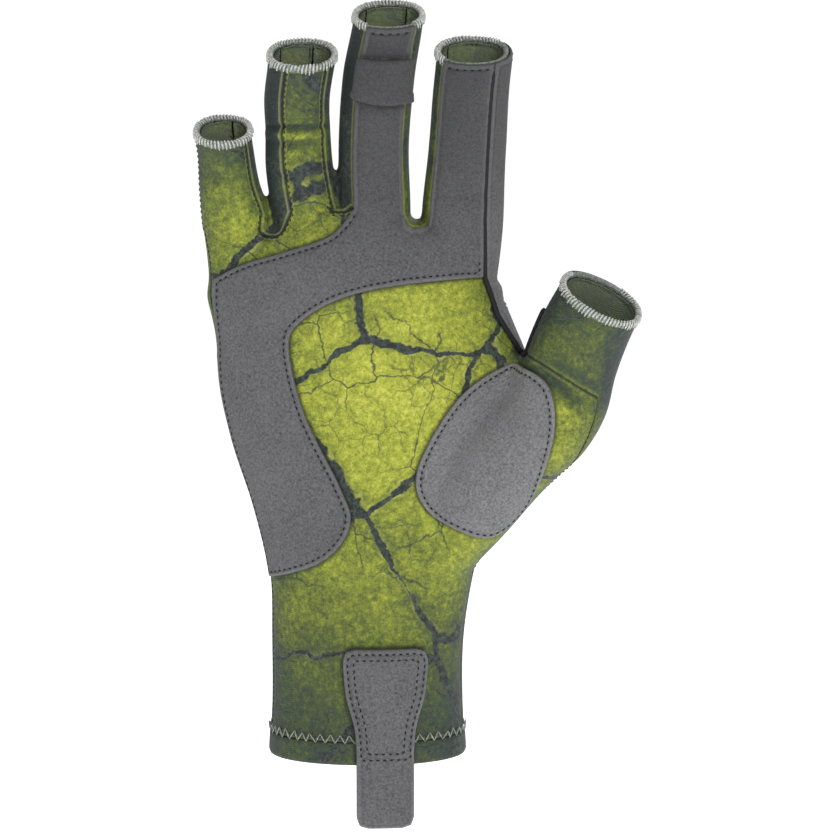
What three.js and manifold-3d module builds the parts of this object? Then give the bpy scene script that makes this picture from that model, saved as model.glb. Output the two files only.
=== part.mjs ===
import * as THREE from 'three';
import { mergeVertices } from 'three/addons/utils/BufferGeometryUtils.js';
import Module from 'manifold-3d';

// A right-hand fishing glove with open fingertips, in millimetres.
// It stands on its wrist opening with the fingers up (+Z), the palm facing -Y and the thumb at +X.

// Shell
const clothWall = 1.5;
const seamGap = 0.3; // between any two pieces
const palmHeight = 180; // hem to the webs between the fingers
const wristWidth = 64.5;
const wristDepth = 45;
const knuckleWidth = 99;
const knuckleDepth = 22.4;
const palmDepth = 34;
const sideSeamSet = 4; // side seam, in front of the middle of the hand
const fingerSeat = 40; // how far a finger's tube runs down inside the palm
const fingerRoot = 0.84; // size of that tube's end, as a share of the finger at the webs

// Fingers: length above the webs, then width and depth at the opening
const littleLength = 29;
const littleWidth = 19.6;
const littleDepth = 18.5;
const ringLength = 53.5;
const ringWidth = 22.4;
const ringDepth = 20;
const middleLength = 66;
const middleWidth = 23.2;
const middleDepth = 20.5;
const indexLength = 54.5;
const indexWidth = 24.2;
const indexDepth = 20;
const thumbLength = 102; // from the wrist's thumb side to the opening
const thumbWidth = 28;
const thumbDepth = 24;

// Trim
const hemHeight = 7.5;
const hemExtra = 0.55; // how far the folded hem stands out, and in, of the cloth
const edgingHeight = 2.2;
const edgingExtra = 0.7;
const patchThickness = 1.2;
const bandThickness = 1.1;
const bandHeight = 13.5;
const bandDrop = 14; // opening of the middle finger to the top of its pull band
const tabTopWidth = 27.2;
const tabWidth = 18.6;
const tabHeight = 60;
const tabHang = 21; // below the hem
const tabThickness = 2.2;
const tabOffset = 6; // from the middle of the wrist, towards the thumb
const crotchPatchDrop = 22.5; // below the thumb's crotch, on the back
const crotchWebHeight = 24; // cloth that joins the thumb to the palm
const crotchWebDepth = 18;

// Sides of each loft
const bodySides = 36;
const limbSides = 18;
const farAway = 200; // cutters end well outside the glove

// Hand: a row for each height. up and crown are shares of palmHeight, little and thumb are shares of
// the flare from wrist to knuckles on that side, and deep is a share of the depth that the row follows.
const depths = { wrist: wristDepth, palm: palmDepth, knuckle: knuckleDepth };
const handRows = [
  { up: -0.25, little: 0.06, thumb: 0.06, follows: 'wrist', deep: 1.02, square: 2.2, crown: 0 },
  { up: 0, little: 0.06, thumb: 0.06, follows: 'wrist', deep: 1.02, square: 2.2, crown: 0 },
  { up: 0.09, little: 0, thumb: 0, follows: 'wrist', deep: 0.98, square: 2.2, crown: 0 },
  { up: 0.22, little: 0, thumb: 0, follows: 'wrist', deep: 0.96, square: 2.2, crown: 0 },
  { up: 0.34, little: 0.03, thumb: 0.2, follows: 'wrist', deep: 0.92, square: 2.3, crown: 0 },
  { up: 0.47, little: 0.32, thumb: 0.6, follows: 'palm', deep: 1.09, square: 2.5, crown: 0 },
  { up: 0.6, little: 0.77, thumb: 0.88, follows: 'palm', deep: 1.02, square: 2.6, crown: 0 },
  { up: 0.7, little: 1, thumb: 1.1, follows: 'palm', deep: 1, square: 2.6, crown: 0.01 },
  { up: 0.75, little: 1.03, thumb: 1.1, follows: 'palm', deep: 0.98, square: 2.6, crown: 0.02 },
  { up: 0.785, little: 1.07, thumb: 0.95, follows: 'palm', deep: 0.95, square: 2.6, crown: 0.03 },
  { up: 0.83, little: 1.17, thumb: 0.76, follows: 'palm', deep: 0.84, square: 2.7, crown: 0.075 },
  { up: 0.868, little: 1.25, thumb: 0.68, follows: 'knuckle', deep: 1, square: 2.8, crown: 0.156 },
];

// Fingers: a row for each height. along and curl are shares of the finger's length, sway and wide are
// shares of its width, deep is a share of its depth, and lean is in degrees.
const fingers = {
  little: {
    at: -0.434, length: littleLength, width: littleWidth, depth: littleDepth,
    rows: [
      { along: 0, sway: 0, curl: 0, lean: 6, wide: 1.22, deep: 1.1 },
      { along: 0.35, sway: -0.1, curl: 0.08, lean: 14, wide: 1.07, deep: 1.04 },
      { along: 0.7, sway: -0.14, curl: 0.2, lean: 22, wide: 1.01, deep: 1 },
      { along: 1, sway: -0.18, curl: 0.34, lean: 29, wide: 1, deep: 1 },
    ],
    seams: { palmOuter: -0.93, palmInner: 0.8, backOuter: -0.93, backInner: 0.34 },
  },
  ring: {
    at: -0.199, length: ringLength, width: ringWidth, depth: ringDepth,
    rows: [
      { along: 0, sway: 0, curl: 0, lean: 5, wide: 1.05, deep: 1.08 },
      { along: 0.35, sway: -0.12, curl: 0.056, lean: 12, wide: 1.03, deep: 1.04 },
      { along: 0.54, sway: -0.13, curl: 0.1, lean: 16, wide: 1, deep: 0.97 },
      { along: 0.7, sway: -0.13, curl: 0.16, lean: 20, wide: 1, deep: 1.02 },
      { along: 1, sway: -0.03, curl: 0.27, lean: 27, wide: 1, deep: 1 },
    ],
    seams: { palmOuter: -0.42, palmInner: 0.8, backOuter: -0.8, backInner: 0.34 },
  },
  middle: {
    at: 0.029, length: middleLength, width: middleWidth, depth: middleDepth,
    rows: [
      { along: 0, sway: 0, curl: 0, lean: 4, wide: 1.03, deep: 1.06 },
      { along: 0.35, sway: -0.01, curl: 0.045, lean: 11, wide: 1.04, deep: 1.03 },
      { along: 0.7, sway: 0.06, curl: 0.136, lean: 19, wide: 1.06, deep: 1.02 },
      { along: 1, sway: 0.21, curl: 0.25, lean: 26, wide: 1, deep: 1 },
    ],
    seams: { palmOuter: -0.55, palmInner: 0.77, backOuter: -0.8, backInner: 0.57 },
  },
  index: {
    at: 0.313, length: indexLength, width: indexWidth, depth: indexDepth,
    rows: [
      { along: 0, sway: 0, curl: 0, lean: 5, wide: 1.09, deep: 1.08 },
      { along: 0.35, sway: 0.04, curl: 0.056, lean: 12, wide: 1.03, deep: 1.04 },
      { along: 0.7, sway: 0.09, curl: 0.16, lean: 20, wide: 1.01, deep: 1 },
      { along: 1, sway: 0.15, curl: 0.27, lean: 26, wide: 1, deep: 1 },
    ],
    seams: { palmOuter: -0.78, palmInner: 0.58, backOuter: -0.8, backInner: 0.81 },
  },
};

// Thumb: out, up and forward are shares of its length from its root; turn and lean are in degrees.
// The root lies inward of the crotch by a share of that length.
const thumbRoot = { inward: 0.257, up: 0.367, forward: 0.09 };
const thumbRows = [
  { out: -0.04, up: -0.06, forward: 0, turn: 38, lean: 0, wide: 0.5, deep: 0.8 },
  { out: 0.078, up: 0.167, forward: 0.03, turn: 41, lean: 0, wide: 1.05, deep: 1.28 },
  { out: 0.229, up: 0.356, forward: 0.06, turn: 42, lean: 2, wide: 1.11, deep: 1.3 },
  { out: 0.314, up: 0.441, forward: 0.074, turn: 35, lean: 5, wide: 1.11, deep: 1.25 },
  { out: 0.368, up: 0.529, forward: 0.088, turn: 20, lean: 10, wide: 1.1, deep: 1.17 },
  { out: 0.402, up: 0.657, forward: 0.113, turn: 17, lean: 15, wide: 1.07, deep: 1.08 },
  { out: 0.447, up: 0.775, forward: 0.147, turn: 23, lean: 20, wide: 1.04, deep: 1.04 },
  { out: 0.495, up: 0.873, forward: 0.186, turn: 26, lean: 25, wide: 1, deep: 1 },
];

// Outlines seen from the front. across is a share of knuckleWidth and up is a share of palmHeight.
const palmPatchInner = [
  { across: 0.385, up: 0.891 },
  { across: 0.105, up: 0.878 },
  { across: -0.085, up: 0.854 },
  { across: -0.218, up: 0.811 },
  { across: -0.253, up: 0.763 },
  { across: -0.202, up: 0.644 },
  { across: -0.085, up: 0.511 },
  { across: -0.052, up: 0.444 },
  { across: -0.136, up: 0.378 },
  { across: -0.34, up: 0.332 },
];
const palmPatchUpper = [
  { across: -0.515, up: 0.883 },
  { across: -0.418, up: 0.913 },
  { across: -0.288, up: 0.935 },
  { across: -0.135, up: 0.963 },
  { across: -0.082, up: 0.985 },
];
const thumbBaseEgg = [
  { across: 0.487, up: 0.733 },
  { across: 0.595, up: 0.706 },
  { across: 0.621, up: 0.64 },
  { across: 0.59, up: 0.556 },
  { across: 0.522, up: 0.472 },
  { across: 0.414, up: 0.423 },
  { across: 0.3, up: 0.437 },
  { across: 0.196, up: 0.472 },
  { across: 0.163, up: 0.532 },
  { across: 0.233, up: 0.62 },
  { across: 0.34, up: 0.693 },
];
// Rounded foot of the crotch patch on the back, as shares of crotchPatchDrop from the crotch.
const crotchFoot = [
  { across: -0.36, down: -0.6 },
  { across: -0.3, down: -0.06 },
  { across: -0.21, down: 0.5 },
  { across: 0, down: 0.83 },
  { across: 0.3, down: 0.98 },
  { across: 0.6, down: 0.95 },
];

const wasm = await Module();
wasm.setup();

function toSolid(geometry) {
  const plain = geometry.clone();
  plain.deleteAttribute('normal');
  plain.deleteAttribute('uv');
  const welded = mergeVertices(plain, 1e-5);
  const vertProperties = new Float32Array(welded.attributes.position.array);
  const triVerts = new Uint32Array(welded.index.array);
  return new wasm.Manifold(new wasm.Mesh({ numProp: 3, vertProperties, triVerts }));
}

function toMesh(name, solid, material) {
  const data = solid.getMesh();
  const geometry = new THREE.BufferGeometry();
  geometry.setAttribute('position', new THREE.BufferAttribute(data.vertProperties, 3));
  geometry.setIndex(new THREE.BufferAttribute(data.triVerts, 1));
  geometry.computeVertexNormals();
  const mesh = new THREE.Mesh(geometry, material);
  mesh.name = name;
  return mesh;
}

// A closed tube through rings of equal count. Its ends are strips from the front to the back.
function loft(rings) {
  const count = rings[0].length;
  const positions = rings.flat().flatMap((point) => point.toArray());
  const faces = [];
  for (let ring = 0; ring < rings.length - 1; ring += 1) {
    for (let side = 0; side < count; side += 1) {
      const next = (side + 1) % count;
      const low = ring * count;
      const high = low + count;
      faces.push(low + side, low + next, high + next);
      faces.push(low + side, high + next, high + side);
    }
  }
  const top = (rings.length - 1) * count;
  for (let side = 0; side < count / 2; side += 1) {
    const a = side;
    const b = side + 1;
    const c = (count - side - 1) % count;
    const d = (count - side) % count;
    if (b !== c) {
      faces.push(top + a, top + b, top + c);
      faces.push(c, b, a);
    }
    if (a !== d) {
      faces.push(top + a, top + c, top + d);
      faces.push(d, c, a);
    }
  }
  const geometry = new THREE.BufferGeometry();
  geometry.setAttribute('position', new THREE.Float32BufferAttribute(positions, 3));
  geometry.setIndex(faces);
  return toSolid(geometry);
}

// A prism of an outline. front outlines hold x and z, side ones y and z, top ones x and y.
const planes = {
  front: [new THREE.Vector3(1, 0, 0), new THREE.Vector3(0, 0, 1)],
  side: [new THREE.Vector3(0, 1, 0), new THREE.Vector3(0, 0, 1)],
  top: [new THREE.Vector3(1, 0, 0), new THREE.Vector3(0, 1, 0)],
};

function prism(plane, outline, from, to) {
  const [u, v] = planes[plane];
  const w = new THREE.Vector3().crossVectors(u, v);
  const geometry = new THREE.ExtrudeGeometry(new THREE.Shape(outline), { depth: to - from, bevelEnabled: false });
  const start = plane === 'front' ? to : from;
  geometry.applyMatrix4(new THREE.Matrix4().makeBasis(u, v, w));
  geometry.translate(Math.abs(w.x) * start, Math.abs(w.y) * start, Math.abs(w.z) * start);
  return toSolid(geometry);
}

function superellipse(angle, square) {
  const c = Math.cos(angle);
  const s = Math.sin(angle);
  return {
    x: Math.sign(c) * Math.abs(c) ** (2 / square),
    y: Math.sign(s) * Math.abs(s) ** (2 / square),
  };
}

function mix(low, high, share) {
  const mixed = {};
  for (const key of Object.keys(low)) {
    mixed[key] = THREE.MathUtils.lerp(low[key], high[key], share);
  }
  return mixed;
}

// The rows from one length to another, with a mixed row at each end.
function between(rows, from, to) {
  const inside = rows.filter((row) => row.at > from + 0.01 && row.at < to - 0.01);
  return [rowAt(rows, from), ...inside, rowAt(rows, to)];
}

function rowAt(rows, at) {
  const index = Math.max(1, rows.findIndex((row) => row.at >= at));
  const low = rows[index - 1];
  const high = rows[index];
  return mix(low, high, (at - low.at) / (high.at - low.at));
}

const flare = (knuckleWidth - wristWidth) / 2;

const bodyRows = handRows.map((row) => ({
  at: row.up * palmHeight,
  left: -wristWidth / 2 - row.little * flare,
  right: wristWidth / 2 + row.thumb * flare,
  half: (depths[row.follows] * row.deep) / 2,
  crown: row.crown * palmHeight,
  square: row.square,
}));
const bodyTop = bodyRows.at(-1).at;
const bodyFoot = bodyRows[0].at;

function bodyPoint(row, angle, grow) {
  const unit = superellipse(angle, row.square);
  const halfWide = (row.right - row.left) / 2 + grow;
  const lift = row.crown * (1 - unit.x * unit.x);
  const x = (row.right + row.left) / 2 + halfWide * unit.x;
  return new THREE.Vector3(x, (row.half + grow) * unit.y, row.at + lift);
}

function bodySolid(grow, from, topShift) {
  const rows = between(bodyRows, from, bodyTop);
  const rings = rows.map((row, index) => {
    const ring = [];
    for (let side = 0; side < bodySides; side += 1) {
      const point = bodyPoint(row, (side / bodySides) * Math.PI * 2, grow);
      if (index === rows.length - 1) point.z += topShift;
      ring.push(point);
    }
    return ring;
  });
  return loft(rings);
}

// A limb's rows hold the middle of each section, its turn and lean, and its half sizes.
function withLengths(rows) {
  let at = 0;
  rows.forEach((row, index) => {
    if (index > 0) {
      const last = rows[index - 1];
      at += Math.hypot(row.x - last.x, row.y - last.y, row.z - last.z);
    }
    row.at = at;
  });
  const rim = rows.at(-1);
  const past = edgingHeight * 4;
  const normal = axes(rim).along;
  const end = { ...rim, at: rim.at + past };
  end.x += normal.x * past;
  end.y += normal.y * past;
  end.z += normal.z * past;
  return { rows: [...rows, end], rim: rim.at };
}

function axes(row) {
  const turn = THREE.MathUtils.degToRad(row.turn);
  const lean = THREE.MathUtils.degToRad(row.lean);
  const wide = new THREE.Vector3(Math.cos(turn), 0, -Math.sin(turn));
  const across = Math.sin(lean);
  const deep = new THREE.Vector3(Math.sin(turn) * across, Math.cos(lean), Math.cos(turn) * across);
  return { wide, deep, along: new THREE.Vector3().crossVectors(wide, deep) };
}

function fingerLimb(finger) {
  const x = finger.at * knuckleWidth;
  const rows = finger.rows.map((row) => ({
    x: x + row.sway * finger.width,
    y: -row.curl * finger.length,
    z: palmHeight + row.along * finger.length,
    turn: 0,
    lean: row.lean,
    wide: (row.wide * finger.width) / 2,
    deep: (row.deep * finger.depth) / 2,
  }));
  const root = { ...rows[0], x: x * 0.93, z: palmHeight - fingerSeat, lean: 0 };
  root.wide *= fingerRoot;
  root.deep *= fingerRoot;
  return withLengths([root, ...rows]);
}

const crotchRow = rowAt(bodyRows, 0.755 * palmHeight);
const crotch = { x: crotchRow.right + clothWall, z: crotchRow.at };

const limbs = {};
for (const [name, finger] of Object.entries(fingers)) {
  limbs[name] = fingerLimb(finger);
}
limbs.thumb = withLengths(thumbRows.map((row) => ({
  x: crotch.x + (row.out - thumbRoot.inward) * thumbLength,
  y: -thumbRoot.forward * wristDepth - row.forward * thumbLength,
  z: thumbRoot.up * palmHeight + row.up * thumbLength,
  turn: row.turn,
  lean: row.lean,
  wide: (row.wide * thumbWidth) / 2,
  deep: (row.deep * thumbDepth) / 2,
})));

function limbSolid(limb, grow, from, past) {
  return tube(between(limb.rows, from, limb.rim + past), grow);
}

function tube(rows, grow) {
  const rings = rows.map((row) => {
    const { wide, deep } = axes(row);
    const ring = [];
    for (let side = 0; side < limbSides; side += 1) {
      const unit = superellipse((side / limbSides) * Math.PI * 2, 2.2);
      const point = new THREE.Vector3(row.x, row.y, row.z);
      point.addScaledVector(wide, (row.wide + grow) * unit.x);
      point.addScaledVector(deep, (row.deep + grow) * unit.y);
      ring.push(point);
    }
    return ring;
  });
  return loft(rings);
}

const webRow = { turn: 78, lean: 0, wide: crotchWebHeight / 2, deep: crotchWebDepth / 2 };
const webRows = [
  { ...webRow, x: crotch.x - thumbWidth * 0.5, y: 0, z: crotch.z - crotchWebHeight * 0.62 },
  { ...webRow, x: crotch.x + thumbWidth * 0.4, y: -thumbDepth * 0.45, z: crotch.z - crotchWebHeight * 0.5 },
];

function handSolid(grow, from, past) {
  let hand = bodySolid(grow, from, grow).add(tube(webRows, grow));
  for (const limb of Object.values(limbs)) {
    hand = hand.add(limbSolid(limb, grow, 0, past));
  }
  return hand;
}

// A skin over the glove from one height above the cloth to another.
function skin(inner, outer) {
  const outside = handSolid(outer, hemHeight + seamGap, -edgingHeight - seamGap);
  return outside.subtract(handSolid(inner, bodyFoot, edgingHeight * 3));
}

// Everything in front of the side seam. The seam curls forward with the fingers and the thumb.
const thumbRim = limbs.thumb.rows.at(-2);
const thumbSlope = (thumbRim.y + sideSeamSet * 0.7) / (thumbRim.x - crotch.x);

function frontSide(shift) {
  const top = limbs.middle.rows.at(-1);
  const line = limbs.middle.rows.slice(1).map((row) => new THREE.Vector2(row.y - 1.5 + shift, row.z));
  const outline = [
    new THREE.Vector2(-farAway, bodyFoot),
    new THREE.Vector2(-sideSeamSet + shift, bodyFoot),
    new THREE.Vector2(-sideSeamSet + shift, palmHeight * 0.83),
    ...line,
    new THREE.Vector2(top.y + shift, top.z + farAway),
    new THREE.Vector2(-farAway, top.z + farAway),
  ];
  const reach = farAway - crotch.x;
  const thumbOutline = [
    new THREE.Vector2(crotch.x, -farAway),
    new THREE.Vector2(farAway, -farAway),
    new THREE.Vector2(farAway, -sideSeamSet + thumbSlope * reach + shift),
    new THREE.Vector2(crotch.x, -sideSeamSet + shift),
  ];
  const hand = prism('side', outline, -farAway, crotch.x + 0.05);
  return hand.add(prism('top', thumbOutline, bodyFoot, top.z + farAway));
}

const front = frontSide(-seamGap / 2);
const frontAndSeam = frontSide(seamGap / 2);

function frontOnly(outline) {
  return prism('front', outline, -farAway, farAway).intersect(frontAndSeam);
}

function backOnly(outline) {
  return prism('front', outline, -farAway, farAway).subtract(front);
}

// A line down a limb at a share of its half width, seen from the front, from its opening to its root.
function limbLine(limb, share, from, push) {
  const line = between(limb.rows, from, limb.rows.at(-1).at).map((row) => {
    const { wide } = axes(row);
    const out = row.wide * share + push;
    return new THREE.Vector2(row.x + wide.x * out, row.z + wide.z * out);
  });
  return line.reverse();
}

function webHeight(x) {
  const row = bodyRows.at(-1);
  const unit = (x - (row.right + row.left) / 2) / ((row.right - row.left) / 2);
  return row.at + row.crown * (1 - unit * unit);
}

// The strip between two fingers: up the side of one, over the web and down the side of the next.
function fourchetteCutter(outer, inner, push) {
  const outerLimb = limbs[outer];
  const innerLimb = limbs[inner];
  const middle = (fingers[outer].at + fingers[inner].at) * 0.5 * knuckleWidth;
  const foot = webHeight(middle) - clothWall * 3 - push;
  const outline = (outerShare, innerShare) => {
    const left = limbLine(outerLimb, outerShare, fingerSeat + clothWall, -push);
    const right = limbLine(innerLimb, innerShare, fingerSeat + clothWall, push);
    const bottom = [
      new THREE.Vector2(middle - clothWall * 2.4 - push, foot),
      new THREE.Vector2(middle + clothWall * 2.4 + push, foot),
    ];
    const top = Math.max(left[0].y, right[0].y);
    const closing = [new THREE.Vector2(right[0].x, top), new THREE.Vector2(left[0].x, top)];
    return [...left, ...bottom, ...right.reverse(), ...closing];
  };
  const outerSeams = fingers[outer].seams;
  const innerSeams = fingers[inner].seams;
  const palmSide = frontOnly(outline(outerSeams.palmInner, innerSeams.palmOuter));
  return palmSide.add(backOnly(outline(outerSeams.backInner, innerSeams.backOuter)));
}

const webs = [['little', 'ring'], ['ring', 'middle'], ['middle', 'index']];

function thumbCutter(push) {
  const x = crotch.x - push;
  const outer = limbs.thumb.rows[4].x + limbs.thumb.rows[4].wide;
  const rise = (outer - crotch.x) * 0.59;
  const hinge = crotch.x + thumbWidth * 0.34 - push;
  const palmSide = [
    new THREE.Vector2(x, crotch.z - push),
    new THREE.Vector2(outer, crotch.z - rise - push),
    new THREE.Vector2(farAway, crotch.z - rise - push),
    new THREE.Vector2(farAway, farAway),
    new THREE.Vector2(x, farAway),
  ];
  const backSide = [
    new THREE.Vector2(x, crotch.z - push),
    new THREE.Vector2(hinge, crotch.z - crotchPatchDrop - push),
    new THREE.Vector2(hinge, 0),
    new THREE.Vector2(farAway, 0),
    new THREE.Vector2(farAway, farAway),
    new THREE.Vector2(x, farAway),
  ];
  return frontOnly(palmSide).add(backOnly(backSide));
}

const cloth = skin(-clothWall, 0);
let rest = cloth.subtract(thumbCutter(seamGap));
const fourchettes = webs.map(([outer, inner]) => {
  rest = rest.subtract(fourchetteCutter(outer, inner, seamGap));
  return cloth.intersect(fourchetteCutter(outer, inner, 0));
});
const thumbPanel = cloth.intersect(thumbCutter(0));
const palmPanel = rest.intersect(front);
const backPanel = rest.subtract(frontAndSeam);

// Patches lie on the cloth.
const patchSkin = skin(seamGap, seamGap + patchThickness);

function placed(rows, points) {
  const knots = rows.map((row) => new THREE.Vector2(row.across * knuckleWidth, row.up * palmHeight));
  return new THREE.SplineCurve(knots).getPoints(points);
}

const patchSide = frontSide(-sideSeamSet / 2);
const patchCorner = palmPatchInner[0];
const palmSeam = fingers.index.seams.palmInner;
const middleSeams = fingers.middle.seams;
const palmPatchOutline = [
  ...limbLine(limbs.index, palmSeam, fingerSeat, -seamGap),
  ...placed(palmPatchInner, 22),
  new THREE.Vector2(-farAway, palmPatchInner.at(-1).up * palmHeight),
  new THREE.Vector2(-farAway, palmPatchUpper[0].up * palmHeight),
  ...placed(palmPatchUpper, 10),
  ...limbLine(limbs.middle, middleSeams.palmOuter, fingerSeat + clothWall * 2, 0).reverse(),
  ...limbLine(limbs.middle, middleSeams.palmInner, fingerSeat + clothWall, 0),
  ...limbLine(limbs.index, fingers.index.seams.palmOuter, fingerSeat + clothWall, 0).reverse(),
];
const palmPatch = patchSkin.intersect(patchSide).intersect(
  prism('front', palmPatchOutline, -farAway, farAway),
);

const eggKnots = thumbBaseEgg.map((row) => (
  new THREE.Vector3(row.across * knuckleWidth, row.up * palmHeight, 0)
));
const eggOutline = new THREE.CatmullRomCurve3(eggKnots, true).getPoints(30).slice(0, -1)
  .map((point) => new THREE.Vector2(point.x, point.y));
const thenarPatch = patchSkin.intersect(patchSide).intersect(
  prism('front', eggOutline, -farAway, farAway),
);

// The crotch patch runs down the index finger, over the crotch and up the back of the thumb.
const beyond = [
  new THREE.Vector2(limbs.thumb.rows.at(-1).x, limbs.thumb.rows.at(-1).z + thumbWidth),
  new THREE.Vector2(limbs.index.rows.at(-1).x + indexWidth, limbs.index.rows.at(-1).z + indexWidth),
];
const footKnots = crotchFoot.map((row) => new THREE.Vector2(
  crotch.x + row.across * crotchPatchDrop,
  crotch.z - row.down * crotchPatchDrop,
));
const thumbBend = limbs.thumb.rows[4].at;
const crotchBack = [
  ...limbLine(limbs.index, fingers.index.seams.backInner, fingerSeat * 0.8, 0),
  ...new THREE.SplineCurve(footKnots).getPoints(12),
  ...limbLine(limbs.thumb, 0.32, thumbBend, 0).reverse(),
  ...beyond,
];
const crotchFront = [
  ...limbLine(limbs.index, palmSeam, fingerSeat, seamGap),
  new THREE.Vector2(patchCorner.across * knuckleWidth + seamGap * 2, patchCorner.up * palmHeight),
  new THREE.Vector2(limbs.index.rows[0].x + limbs.index.rows[0].wide * 0.95, palmHeight * 0.82),
  new THREE.Vector2(crotch.x - clothWall * 1.5, crotch.z),
  new THREE.Vector2(crotch.x - clothWall * 1.5, beyond[1].y),
];
const crotchPatch = patchSkin.intersect(frontOnly(crotchFront).add(backOnly(crotchBack)));

// Pull band across the palm side of the middle finger, on top of the patch.
const bandSkin = skin(seamGap * 2 + patchThickness, seamGap * 2 + patchThickness + bandThickness);
const bandTop = limbs.middle.rows.at(-2).z - bandDrop;
const bandBox = prism('side', [
  new THREE.Vector2(-farAway, bandTop - bandHeight),
  new THREE.Vector2(farAway, bandTop - bandHeight),
  new THREE.Vector2(farAway, bandTop),
  new THREE.Vector2(-farAway, bandTop),
], -farAway, farAway);
const bandOutline = [
  ...limbLine(limbs.middle, middleSeams.palmOuter, fingerSeat, 0),
  ...limbLine(limbs.middle, middleSeams.palmInner, fingerSeat, 0).reverse(),
];
const pullBand = bandSkin.intersect(frontOnly(bandOutline)).intersect(bandBox);

// Trim rings
function edging(limb) {
  const outside = limbSolid(limb, edgingExtra, limb.rim - edgingHeight, 0);
  return outside.subtract(limbSolid(limb, -clothWall - edgingExtra, 0, edgingHeight * 3));
}

const hemTop = prism('side', [
  new THREE.Vector2(-farAway, 0),
  new THREE.Vector2(farAway, 0),
  new THREE.Vector2(farAway, hemHeight),
  new THREE.Vector2(-farAway, hemHeight),
], -farAway, farAway);
const hem = bodySolid(hemExtra, bodyFoot, 0)
  .subtract(bodySolid(-clothWall - hemExtra, bodyFoot, 0))
  .intersect(hemTop);

// Pull tab: wide where it is sewn on, narrow where it hangs below the hem.
const tabInner = hemExtra + seamGap;
const tabSkin = bodySolid(tabInner + tabThickness, bodyFoot, 0)
  .subtract(bodySolid(tabInner, bodyFoot, 0));
const tabLow = -tabHang;
const tabHigh = tabHeight - tabHang;
const tabCorner = tabWidth * 0.15;
const tabOutline = [
  new THREE.Vector2(tabOffset - tabTopWidth / 2 + tabCorner, tabHigh),
  new THREE.Vector2(tabOffset - tabTopWidth / 2, tabHigh - tabCorner),
  new THREE.Vector2(tabOffset - tabTopWidth / 2, tabHigh - tabHeight * 0.15),
  new THREE.Vector2(tabOffset - tabWidth / 2, tabHigh - tabHeight * 0.55),
  new THREE.Vector2(tabOffset - tabWidth / 2, tabLow + tabCorner),
  new THREE.Vector2(tabOffset - tabWidth / 2 + tabCorner, tabLow),
  new THREE.Vector2(tabOffset + tabWidth / 2 - tabCorner, tabLow),
  new THREE.Vector2(tabOffset + tabWidth / 2, tabLow + tabCorner),
  new THREE.Vector2(tabOffset + tabWidth / 2, tabHigh - tabHeight * 0.55),
  new THREE.Vector2(tabOffset + tabTopWidth / 2, tabHigh - tabHeight * 0.15),
  new THREE.Vector2(tabOffset + tabTopWidth / 2, tabHigh - tabCorner),
  new THREE.Vector2(tabOffset + tabTopWidth / 2 - tabCorner, tabHigh),
];
const pullTab = tabSkin.intersect(frontOnly(tabOutline));

const printedCloth = new THREE.MeshStandardMaterial({ color: 0x9aa633, roughness: 0.85, metalness: 0 });
const darkCloth = new THREE.MeshStandardMaterial({ color: 0x4c5c3a, roughness: 0.85, metalness: 0 });
const greySuede = new THREE.MeshStandardMaterial({ color: 0x6e6e70, roughness: 0.92, metalness: 0 });
const paleThread = new THREE.MeshStandardMaterial({ color: 0xc9ccc6, roughness: 0.8, metalness: 0 });

const glove = new THREE.Group();
glove.name = 'fishing_glove';
glove.add(toMesh('palm_panel', palmPanel, printedCloth));
glove.add(toMesh('back_panel', backPanel, printedCloth));
glove.add(toMesh('thumb_panel', thumbPanel, darkCloth));
webs.forEach(([outer, inner], index) => {
  glove.add(toMesh(`fourchette_${outer}_${inner}`, fourchettes[index], printedCloth));
});
glove.add(toMesh('cuff_hem', hem, darkCloth));
for (const [name, limb] of Object.entries(limbs)) {
  glove.add(toMesh(`edging_${name}`, edging(limb), paleThread));
}
glove.add(toMesh('palm_patch', palmPatch, greySuede));
glove.add(toMesh('thenar_patch', thenarPatch, greySuede));
glove.add(toMesh('crotch_patch', crotchPatch, greySuede));
glove.add(toMesh('middle_pull_band', pullBand, greySuede));
glove.add(toMesh('pull_tab', pullTab, greySuede));

export default glove;
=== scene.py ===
import math

import bpy
import bmesh
import numpy as np
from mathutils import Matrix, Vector


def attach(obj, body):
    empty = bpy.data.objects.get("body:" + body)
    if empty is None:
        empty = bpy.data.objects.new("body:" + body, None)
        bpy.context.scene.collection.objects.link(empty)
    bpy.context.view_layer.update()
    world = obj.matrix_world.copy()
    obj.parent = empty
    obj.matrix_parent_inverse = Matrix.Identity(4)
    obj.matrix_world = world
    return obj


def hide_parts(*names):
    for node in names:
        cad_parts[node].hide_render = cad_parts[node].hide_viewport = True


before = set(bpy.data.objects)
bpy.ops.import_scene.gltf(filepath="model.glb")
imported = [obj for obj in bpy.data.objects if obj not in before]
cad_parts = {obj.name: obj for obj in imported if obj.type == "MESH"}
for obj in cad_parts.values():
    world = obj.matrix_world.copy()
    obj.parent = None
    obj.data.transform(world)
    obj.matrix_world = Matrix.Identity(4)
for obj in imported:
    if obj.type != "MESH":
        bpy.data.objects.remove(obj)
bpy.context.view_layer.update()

# A right-hand fishing glove with open fingertips. It is modelled in millimetres and scaled to
# metres when a piece is finished. The palm faces -Y, the fingers point up, the thumb is at +X.
mm = 0.001
chance = np.random.default_rng(11)
print("frame loaded")


# Hand form: one smooth closed surface that every piece is cut from

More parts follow.
